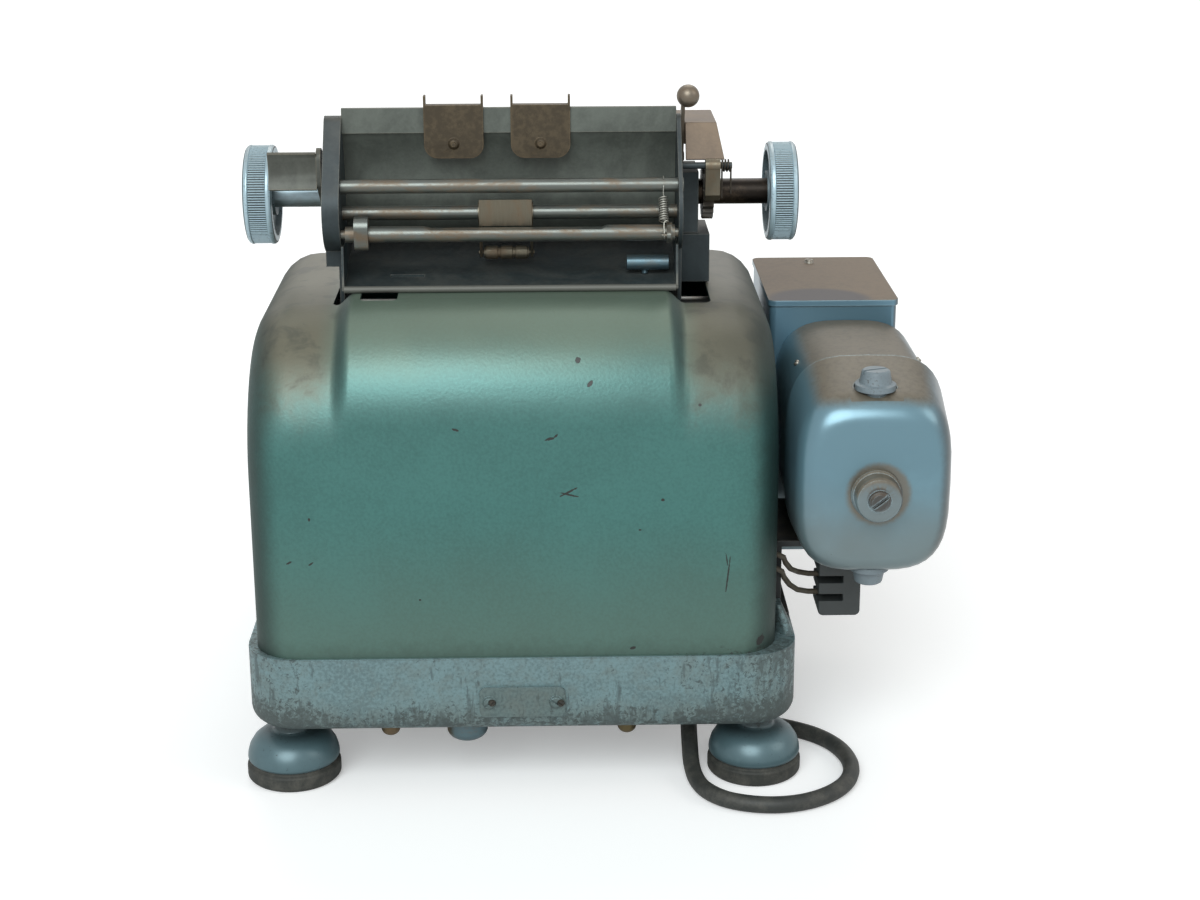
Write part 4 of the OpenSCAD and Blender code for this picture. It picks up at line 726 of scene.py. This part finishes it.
class MachineSettings(bpy.types.PropertyGroup):
    """What a user would change"""

    hood_colour: colour_setting("Hood", "Enamel of the hood", 66, 112, 107)
    base_colour: colour_setting("Base", "Enamel of the base casting", 106, 130, 133)
    motor_colour: colour_setting("Motor", "Enamel of the motor", 110, 146, 160)
    knob_colour: colour_setting("Knobs", "Colour of the platen knobs", 172, 196, 206)
    chips: bpy.props.FloatProperty(
        name="Chips", description="How strongly the chips in the hood's enamel show", default=1.0, min=0, max=1)
    cord_diameter: bpy.props.FloatProperty(
        name="Cord diameter", description="Outer diameter of the mains cord", default=0.0075, min=0.007,
        max=0.0076, unit="LENGTH", precision=4)
    ribs: bpy.props.IntProperty(
        name="Ribs", description="Ribs round each platen knob", default=120, min=90, max=130)
    edge_round: bpy.props.FloatProperty(
        name="Edges", description="Radius of the small edges, in millimetres", default=0.3, min=0.1, max=0.5)


def settings():
    """The settings of this scene."""
    return bpy.context.scene.adding_machine


class MACHINE_OT_stage(bpy.types.Operator):
    """Make the camera, the lamps and the floor"""

    bl_idname = "adding_machine.stage"
    bl_label = "Stage"

    def execute(self, context):
        scene = context.scene
        camera = placed("Camera", bpy.data.cameras.new("Camera"))
        camera.location = at(16.96, -856.7, 439.1)
        heading, rise, roll = (Matrix.Rotation(math.radians(angle), 4, axis)
                               for angle, axis in ((-1.151, "Z"), (72.0, "X"), (-0.194, "Z")))
        camera.rotation_euler = (heading @ rise @ roll).to_euler()
        camera.data.lens = 64.29
        camera.data.sensor_width = 36
        camera.data.clip_start = 0.05
        scene.camera = camera
        wide, near, far = 12, -4, 16
        mesh = bpy.data.meshes.new("floor")
        mesh.from_pydata([(-wide, near, 0), (wide, near, 0), (wide, far, 0), (-wide, far, 0)], [], [(0, 1, 2, 3)])
        floor = placed("floor", mesh)
        ground = Finish("pale floor")
        ground.base = (0.85, 0.85, 0.85, 1)
        ground.set(Roughness=0.8, Specular_IOR_Level=0.1)
        glow = ground.node("Emission", None, {"Color": (1, 1, 1, 1), "Strength": 0.3})
        both = ground.node("AddShader", None, {0: ground.surface, 1: glow})
        camera_ray = ground.node("LightPath", output="Is Camera Ray")
        mesh.materials.append(ground.done(
            ground.node("MixShader", None, {0: camera_ray, 1: ground.surface, 2: both})))
        for name, towards, spread, strength, colour in [
                ("key sun", (0.2, 0.76, -0.62), 40, 2.2, (0.93, 0.99, 1.0)),
                ("side sun", (-0.85, 0.3, -0.6), 30, 0.45, (1.0, 0.97, 0.92)),
                ("back sun", (-0.1, -0.9, -1.0), 40, 0.75, (1.0, 0.98, 0.94))]:
            lamp = placed(name, bpy.data.lights.new(name, "SUN"))
            lamp.data.angle = math.radians(spread)
            lamp.data.energy = strength
            lamp.data.color = colour
            lamp.rotation_euler = Vector(towards).to_track_quat("-Z", "Y").to_euler()
        scene.world = bpy.data.worlds.new("studio")
        sky = Nodes(scene.world)
        light = sky.node("Background", None, {"Color": (0.97, 0.99, 1, 1), "Strength": 0.36})
        rays = [sky.node("LightPath", output="Is " + kind + " Ray") for kind in ("Camera", "Glossy", "Transmission")]
        sky.show(sky.node("MixShader", None, {0: sky.most(*rays), 1: light, 2: sky.node("Background")}),
                 "ShaderNodeOutputWorld")
        scene.view_settings.view_transform = "Standard"
        return {"FINISHED"}


def ease(t):
    """From 0 to 1 as t does, with a smooth start and end."""
    return t * t * (3 - 2 * t)


def cord_route():
    """The points that the mains cord follows, as the CAD has them."""
    x, floor, layer, pitch, radius, plug_high = 61, 3.75, 8.1, 8.3, 52.0, 8.5
    middle_x, middle_y = x - radius, (BASE_HIGH.y - BASE_LOW.y) / MM + 66
    # Out of the gland and down, along the floor round the foot and under the base, and up onto the coil
    route = [(75, 58, 24), (75, 50, 24), (75, 39, 19.5), (75, 27, 11.5), (75.3, 17, 6)]
    route += [(*spot, floor) for spot in (
        (77, 6), (81, -5), (89, -13.5), (100, -18), (112, -19), (124, -16), (135, -9), (143, 1), (147, 13), (147, 26),
        (143, 39), (135, 50), (124, 58), (112, 64), (99, 71), (88, 80), (79, 92), (72, 106), (67, 122), (64, 140),
        (62, 160), *[(x, y) for y in range(185, 311, 25)], (x, middle_y - 66))]
    route += [(x, middle_y - back, floor + rise)
              for back, rise in ((54, 0.8), (40, 3.2), (27, 6.6), (15, layer), (7.5, layer))]
    # The coil winds inwards in the upper layer and outwards in the lower one
    turns, steps = 5.25, 24
    half = turns * 180
    for i in range(int(turns * steps) + 1):
        a = i * 360 / steps
        if abs(a - half) < 90:
            r = radius - pitch * (half - 45) / 360 + pitch / 360 * (a - half) ** 2 / 180
        else:
            r = radius - pitch * (half - abs(a - half)) / 360
        z = floor + layer * (1 - ease(min(1, max(0, (a - half + 90) / 180))))
        route.append((middle_x + r * math.cos(math.radians(a)), middle_y + r * math.sin(math.radians(a)), z))
    x, y, z = route[-1]
    # Off the coil and into the plug, which lies on the floor
    route += [(x - 34 * t, y, z + (plug_high - floor) * ease(t)) for t in (0.25, 0.5, 0.75, 1)]
    route.append((x - 41.5, y, plug_high))
    return [at(*p) for p in route]


class MACHINE_OT_cord(bpy.types.Operator):
    """Make the mains cord, its gland and its plug"""

    bl_idname = "adding_machine.cord"
    bl_label = "Cord"

    def execute(self, context):
        diameter = settings().cord_diameter
        route = smooth_path(cord_route())
        cord = grown("mains_cord", wire_tree(), path_curve("mains_cord_line", route),
                     rubber("cord rubber", paint(50, 52, 50), 0.4, 0.5), "cord_rubber", 60,
                     Diameter=diameter, Step=0.003, Sides=16)
        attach(cord, "machine")
        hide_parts("cord", "cord_coil")
        plug = dressed("cord_plug", moulded("black plastic", paint(46, 47, 49), 0.45, 0.5), 0.8)
        dressed("cord_gland", rubber("gland rubber", paint(40, 41, 42)), 0.5)
        length = sum((b - a).length for a, b in zip(route, route[1:]))
        return {"FINISHED"}


class MACHINE_OT_housing(bpy.types.Operator):
    """Make the hood, the base, its feet and its small parts"""

    bl_idname = "adding_machine.housing"
    bl_label = "Hood and base"

    def execute(self, context):
        s = settings()
        plate = cast_paint("plate enamel", paint(92, 108, 107), 0.55, 0.5, (20, 10))
        nuts = worn_steel("aged brass", paint(104, 92, 66), 0.8, band=(paint(96, 116, 122), -32, -8))
        dressed("hood", hood_paint(tuple(s.hood_colour), s.chips), 0, 40)
        dressed("base_casting", cast_paint("base enamel", tuple(s.base_colour)), 0.6)
        dressed("foot_cups", foot_paint(paint(82, 106, 112)), 0.3)
        dressed("foot_rubbers", rubber("foot rubber", paint(48, 50, 47), 0.4), 0.5)
        dressed("rear_plate", plate, 0.2)
        places = [(*seen("rear_plate", across, 703), turn) for across, turn in ((492, 55), (561, -35))]
        screws("plate_screws", places, worn_steel("plate screw steel", paint(58, 58, 55), 0.4, 0.6), 3.4, 1.0)
        dressed("base_nuts", nuts, 0.3)
        return {"FINISHED"}


# How far to the right of the base's middle the release spring hangs, in millimetres
SPRING_X = 63.2


def spring_routes():
    """The lines that the wires of the two springs follow, as the CAD has them."""
    low, high = Vector((SPRING_X, 50, 241.5)), Vector((SPRING_X, 62, 261.3))
    axis, side = (high - low).normalized(), Vector((1, 0, 0))
    back = axis.cross(side)
    middle, reach = (low + high) / 2, (high - low).length / 2
    curls, pitch, radius = 10, 1.08, 1.9
    long, points = curls * pitch, 16 * curls

    def along(s, r, a):
        return middle + s * axis + r * math.cos(math.radians(a)) * side + r * math.sin(math.radians(a)) * back

    def hook(end, size, start, step, sign):
        angles = [math.radians(start + step * i) for i in range(16)]
        return [end + size * (math.cos(a) * back + sign * math.sin(a) * axis) for a in angles]

    release = [*hook(along(-reach, 0, 0), 1.22, 150, -20, -1), along(-long / 2 - 0.7, radius * 0.5, -90),
               *[along(-long / 2 + long * i / points, radius, -45 + 22.5 * i) for i in range(points + 1)],
               along(long / 2 + 0.7, radius * 0.5, -90), *hook(along(reach, 0, 0), 3.6, -150, 20, 1)]
    x, y, z, size = 89.4, 74, 267.3, 2.5
    angles = [math.radians(22.5 * i) for i in range(49)]
    pawl = [(x, y - size, z - 14), (x, y - size, z - 5),
            *[(x + 1.3 * i / 16, y - size * math.cos(a), z + size * math.sin(a)) for i, a in enumerate(angles)],
            (x + 3.9, y - size, z - 4), (x + 3.9, y - size, z - 12)]
    return {"release_spring": smooth_path([at(*p) for p in release], 2), "pawl_spring": [at(*p) for p in pawl]}


class MACHINE_OT_carriage(bpy.types.Operator):
    """Make the paper carriage with its plates, rods and levers"""

    bl_idname = "adding_machine.carriage"
    bl_label = "Carriage"

    def execute(self, context):
        edge = settings().edge_round
        dark = dark_sheet("blackened steel", paint(48, 57, 60), paint(126, 122, 110))
        trough = dark_sheet("trough steel", paint(46, 58, 61), paint(104, 104, 98), 0.9, 0.5, 0.2, 1.8, 1.2, 51.8)
        table = dark_sheet("paper table steel", paint(90, 95, 89), paint(140, 134, 120), 0.5, 0.34, 0.2)
        brown = dark_sheet("brown steel", paint(72, 62, 46), paint(120, 102, 78), 0.8, 0.42, 0.1, 2.6, 1.6)
        cover = dark_sheet("cover steel", paint(100, 84, 68), paint(150, 136, 120), 0.4, 0.34)
        thumb = dark_sheet("thumb lever steel", paint(80, 82, 76), paint(120, 112, 96), 0.8)
        stop = worn_steel("stop steel", paint(96, 120, 130), 0.5)
        lever = worn_steel("lever steel", paint(124, 116, 104), 0.6)
        steel = worn_steel("rod steel", paint(108, 112, 108), 0.9, 0.8, 0.3)
        small = worn_steel("small steel", paint(112, 106, 92), 0.8, grain_axis=2)
        bright = worn_steel("spring steel", paint(172, 172, 164), 0.3, band=(paint(62, 58, 52), 76, 120))
        for node, material, slot, share in (
                ("carriage_plate_left", dark, "dark_steel", 1), ("carriage_plate_right", dark, "dark_steel", 1),
                ("paper_trough", trough, "dark_steel", 1), ("paper_table", table, "dark_steel", 0.7),
                ("trough_stop", stop, "motor_paint", 1), ("carriage_rods", steel, "steel", 1),
                ("end_cover", cover, "cover_steel", 1), ("paper_guide_left", brown, "brown_steel", 0.5),
                ("paper_guide_right", brown, "brown_steel", 0.5), ("release_shaft", steel, "steel", 0.5),
                ("release_lever", lever, "steel", 1), ("feed_bracket", small, "steel", 0.5),
                ("feed_roller", small, "steel", 0.5), ("thumb_lever", thumb, "brown_steel", 0.5),
                ("line_space_pawl", small, "steel", 0.5)):
            dressed(node, material, edge * share)
        wires = spring_routes()
        for node, diameter in (("release_spring", 0.6), ("pawl_spring", 0.8)):
            spring = grown(node + "_finish", wire_tree(), path_curve(node + "_line", wires[node]), bright, "steel", 60,
                           Diameter=diameter * MM, Step=0.0003, Sides=8)
            if node == "release_spring":
                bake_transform(spring)
            else:
                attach(spring, "machine")
            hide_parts(node)
        return {"FINISHED"}


class MACHINE_OT_platen(bpy.types.Operator):
    """Make the platen with its shaft, ratchet and fluted knobs"""

    bl_idname = "adding_machine.platen"
    bl_label = "Platen"

    def execute(self, context):
        s = settings()
        shaft = worn_steel("shaft steel", paint(150, 168, 176), 0.35, band=(paint(36, 31, 27), 0, 300))
        dressed("platen_roller", rubber("platen rubber", paint(40, 41, 42), 0.2, 0.45), 0.4)
        dressed("platen_shaft", shaft, 0.4)
        dressed("platen_ratchet", worn_steel("ratchet steel", paint(86, 84, 80), 0.5), 0.2)
        depth, rib_middle = 13, 6.5
        low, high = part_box("platen_knobs")
        middle = (low + high) / 2
        plastic = knob_paint(tuple(s.knob_colour), middle)
        profile = [(0, 3), (5, 3), (9.2, 0), (9.25, 2.4), (18.3, 2.4), (18.4, 0), (20.6, 0), (21.6, 0.3), (22.2, 1),
                   (22.3, 1.4), (22.3, 2.3), (22.0, 2.6), (21.3, 2.8), (21.3, 10.2), (22.0, 10.4), (22.3, 10.7),
                   (22.3, 11.2), (21.9, 12), (21, 12.7), (19.8, depth), (15, depth), (14, 12.7), (0, 12.6)]
        inner = [(Vector((x, middle.y, middle.z)), side)
                 for x, side in ((low.x + depth * MM, -1), (high.x - depth * MM, 1))]
        knobs = link("knobs", turned("knobs", profile, inner), plastic, 32)
        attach(knobs, "platen")
        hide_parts("platen_knobs")
        left, right = (tuple(centre + Vector((side * rib_middle * MM, 0, 0))) for centre, side in inner)
        ribs = grown("knob_ribs", ribs_tree(), bpy.data.meshes.new("ribs_source"), plastic, "knob_plastic", 50,
                     Left=left, Right=right, Radius=21.68 * MM, Length=7.6 * MM, Ribs=s.ribs, Rib=0.72 * MM)
        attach(ribs, "platen")
        return {"FINISHED"}


class MACHINE_OT_motor(bpy.types.Operator):
    """Make the motor, the gear housing and their small parts"""

    bl_idname = "adding_machine.motor"
    bl_label = "Motor"

    def execute(self, context):
        dust = paint(104, 94, 78)
        cap_face = seen("bearing_cap", 880, 501)[0]
        halo = (cap_face + Vector((1.4, 0, -1.6)) * MM, 14.4, paint(112, 96, 74), 0.75)
        enamel = motor_paint("motor enamel", tuple(settings().motor_colour), dust, 1.0, 0.58, marks=[halo])
        cap = motor_paint("cap enamel", paint(118, 132, 136), dust, 1.0, 0.0,
                          marks=[(cap_face, 5.2, paint(52, 40, 30), 0.8)])
        low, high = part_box("gear_housing")
        middle = (low.x + high.x) / 2
        ring = ((middle - ORIGIN.x) / MM, (low.y - ORIGIN.y) / MM + 3, 24, 20)
        box = motor_paint("gear housing enamel", paint(108, 146, 166), paint(96, 80, 60), 1.1, 0.35, ring)
        bracket = dark_sheet("bracket steel", paint(48, 50, 50), paint(110, 104, 94))
        steel = worn_steel("screw steel", paint(150, 148, 140), 0.5)
        dressed("motor_end_shield", enamel, 0.4, 40)
        dressed("motor_housing", enamel, 0.5)
        dressed("bearing_cap", cap, 0.2)
        dressed("gear_housing", box, 0.6)
        dressed("brush_caps", moulded("cap plastic", paint(112, 124, 130), 0.35, 0.9), 0.3)
        dressed("connector_block", moulded("connector plastic", paint(56, 60, 60), 0.5, 0.5), 0.5)
        dressed("motor_bracket", bracket, 0.4)
        dressed("motor_leads", rubber("lead cloth", paint(70, 62, 50), 0.6), 0, 60)
        seam = [(*seen("motor_housing", 797, 363), 20), (*seen("motor_housing", 918, 360), 70)]
        screws("seam_screws", seam, steel, 3.2, 1.0)
        lid = (Vector((middle + 4 * MM, high.y - 12 * MM, high.z)), Vector((0, 0, 1)), 35)
        screws("lid_screws", [lid], steel, 5, 1.6)
        return {"FINISHED"}


def digit(number, place, tilt, body, material):
    """A number that lies on a key top."""
    curve = bpy.data.curves.new("number_" + number, "FONT")
    curve.body = number
    curve.size = 8.5 * MM
    curve.extrude = 0.12 * MM
    curve.align_x = "CENTER"
    curve.align_y = "CENTER"
    curve.resolution_u = 3
    holder = placed("number_" + number, curve)
    bpy.context.view_layer.update()
    mesh = bpy.data.meshes.new_from_object(holder.evaluated_get(bpy.context.evaluated_depsgraph_get()))
    bpy.data.objects.remove(holder)
    mesh.transform(Matrix.Translation(place) @ tilt)
    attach(link("number_" + number, mesh, material, 0), body)


class MACHINE_OT_keyboard(bpy.types.Operator):
    """Make the keyboard plate, the keys and their numbers"""

    bl_idname = "adding_machine.keyboard"
    bl_label = "Keyboard"

    def execute(self, context):
        pale = moulded("pale key plastic", paint(222, 214, 192), 0.25, 0.3)
        dark = moulded("dark key plastic", paint(64, 86, 78), 0.28, 0.25)
        ink = moulded("number ink", paint(36, 38, 38), 0.4, 0.0)
        dressed("keyboard_plate", dark_sheet("keyboard plate steel", paint(62, 70, 68), paint(120, 118, 108)),
                0.2)
        push = next(j for j in frame["joints"] if j["name"] == "key_5_press")["axis"]
        normal = -Vector(push)
        tilt = (Matrix.Rotation(math.atan2(push[1], push[2]) + math.pi, 4, "X")
                @ Matrix.Rotation(math.pi, 4, "Z"))
        dish, rim_band = 0.88 * MM, 0.3 * MM
        for number in "0123456789":
            node = "key_" + number
            dressed(node, pale, 0.4)
            low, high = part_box(node)
            top = max(v.co.dot(normal) for v in NODES[node].data.vertices)
            rim = [v.co for v in NODES[node].data.vertices if v.co.dot(normal) > top - rim_band]
            place = sum(rim, Vector()) / len(rim)
            place += normal * (top - place.dot(normal) - dish)
            place.x = (low.x + high.x) / 2
            digit(number, place, tilt, node, ink)
        for node in ("motor_bar", "total_key", "subtotal_key", "non_add_key"):
            dressed(node, dark, 0.4)
        return {"FINISHED"}


class MACHINE_OT_works(bpy.types.Operator):
    """Give the pieces inside the machine their materials"""

    bl_idname = "adding_machine.works"
    bl_label = "Inner works"

    def execute(self, context):
        steel = worn_steel("frame steel", paint(112, 114, 112), 0.4, grain_axis=2)
        bars = worn_steel("type bar steel", paint(168, 166, 158), 0.3, grain_axis=2)
        brass = worn_steel("wheel brass", paint(166, 138, 84), 0.3)
        for node, material in (("frame_plates", steel), ("tie_rods", steel), ("drive_shaft", steel),
                               ("motor_armature", steel), ("type_bars", bars), ("worm_wheel", brass)):
            painted(NODES[node].data, material)
        return {"FINISHED"}


class MACHINE_PT_panel(bpy.types.Panel):
    """Lists the piece groups of the adding machine"""

    bl_idname = "MACHINE_PT_panel"
    bl_label = "Adding machine"
    bl_space_type = "VIEW_3D"
    bl_region_type = "UI"
    bl_category = "Adding machine"

    def draw(self, context):
        for name in MachineSettings.__annotations__:
            self.layout.prop(context.scene.adding_machine, name)
        for operator in OPERATORS:
            self.layout.operator(operator.bl_idname)


OPERATORS = (MACHINE_OT_stage, MACHINE_OT_cord, MACHINE_OT_housing, MACHINE_OT_carriage, MACHINE_OT_platen,
             MACHINE_OT_motor, MACHINE_OT_keyboard, MACHINE_OT_works)


def register():
    for part in (MachineSettings, *OPERATORS, MACHINE_PT_panel):
        bpy.utils.register_class(part)
    bpy.types.Scene.adding_machine = bpy.props.PointerProperty(type=MachineSettings)


def unregister():
    del bpy.types.Scene.adding_machine
    for part in (MACHINE_PT_panel, *reversed(OPERATORS), MachineSettings):
        bpy.utils.unregister_class(part)


def main():
    register()
    bpy.ops.adding_machine.stage()
    bpy.ops.adding_machine.cord()
    bpy.ops.adding_machine.housing()
    bpy.ops.adding_machine.carriage()
    bpy.ops.adding_machine.platen()
    bpy.ops.adding_machine.motor()
    bpy.ops.adding_machine.keyboard()
    bpy.ops.adding_machine.works()


if __name__ == "__main__":
    main()
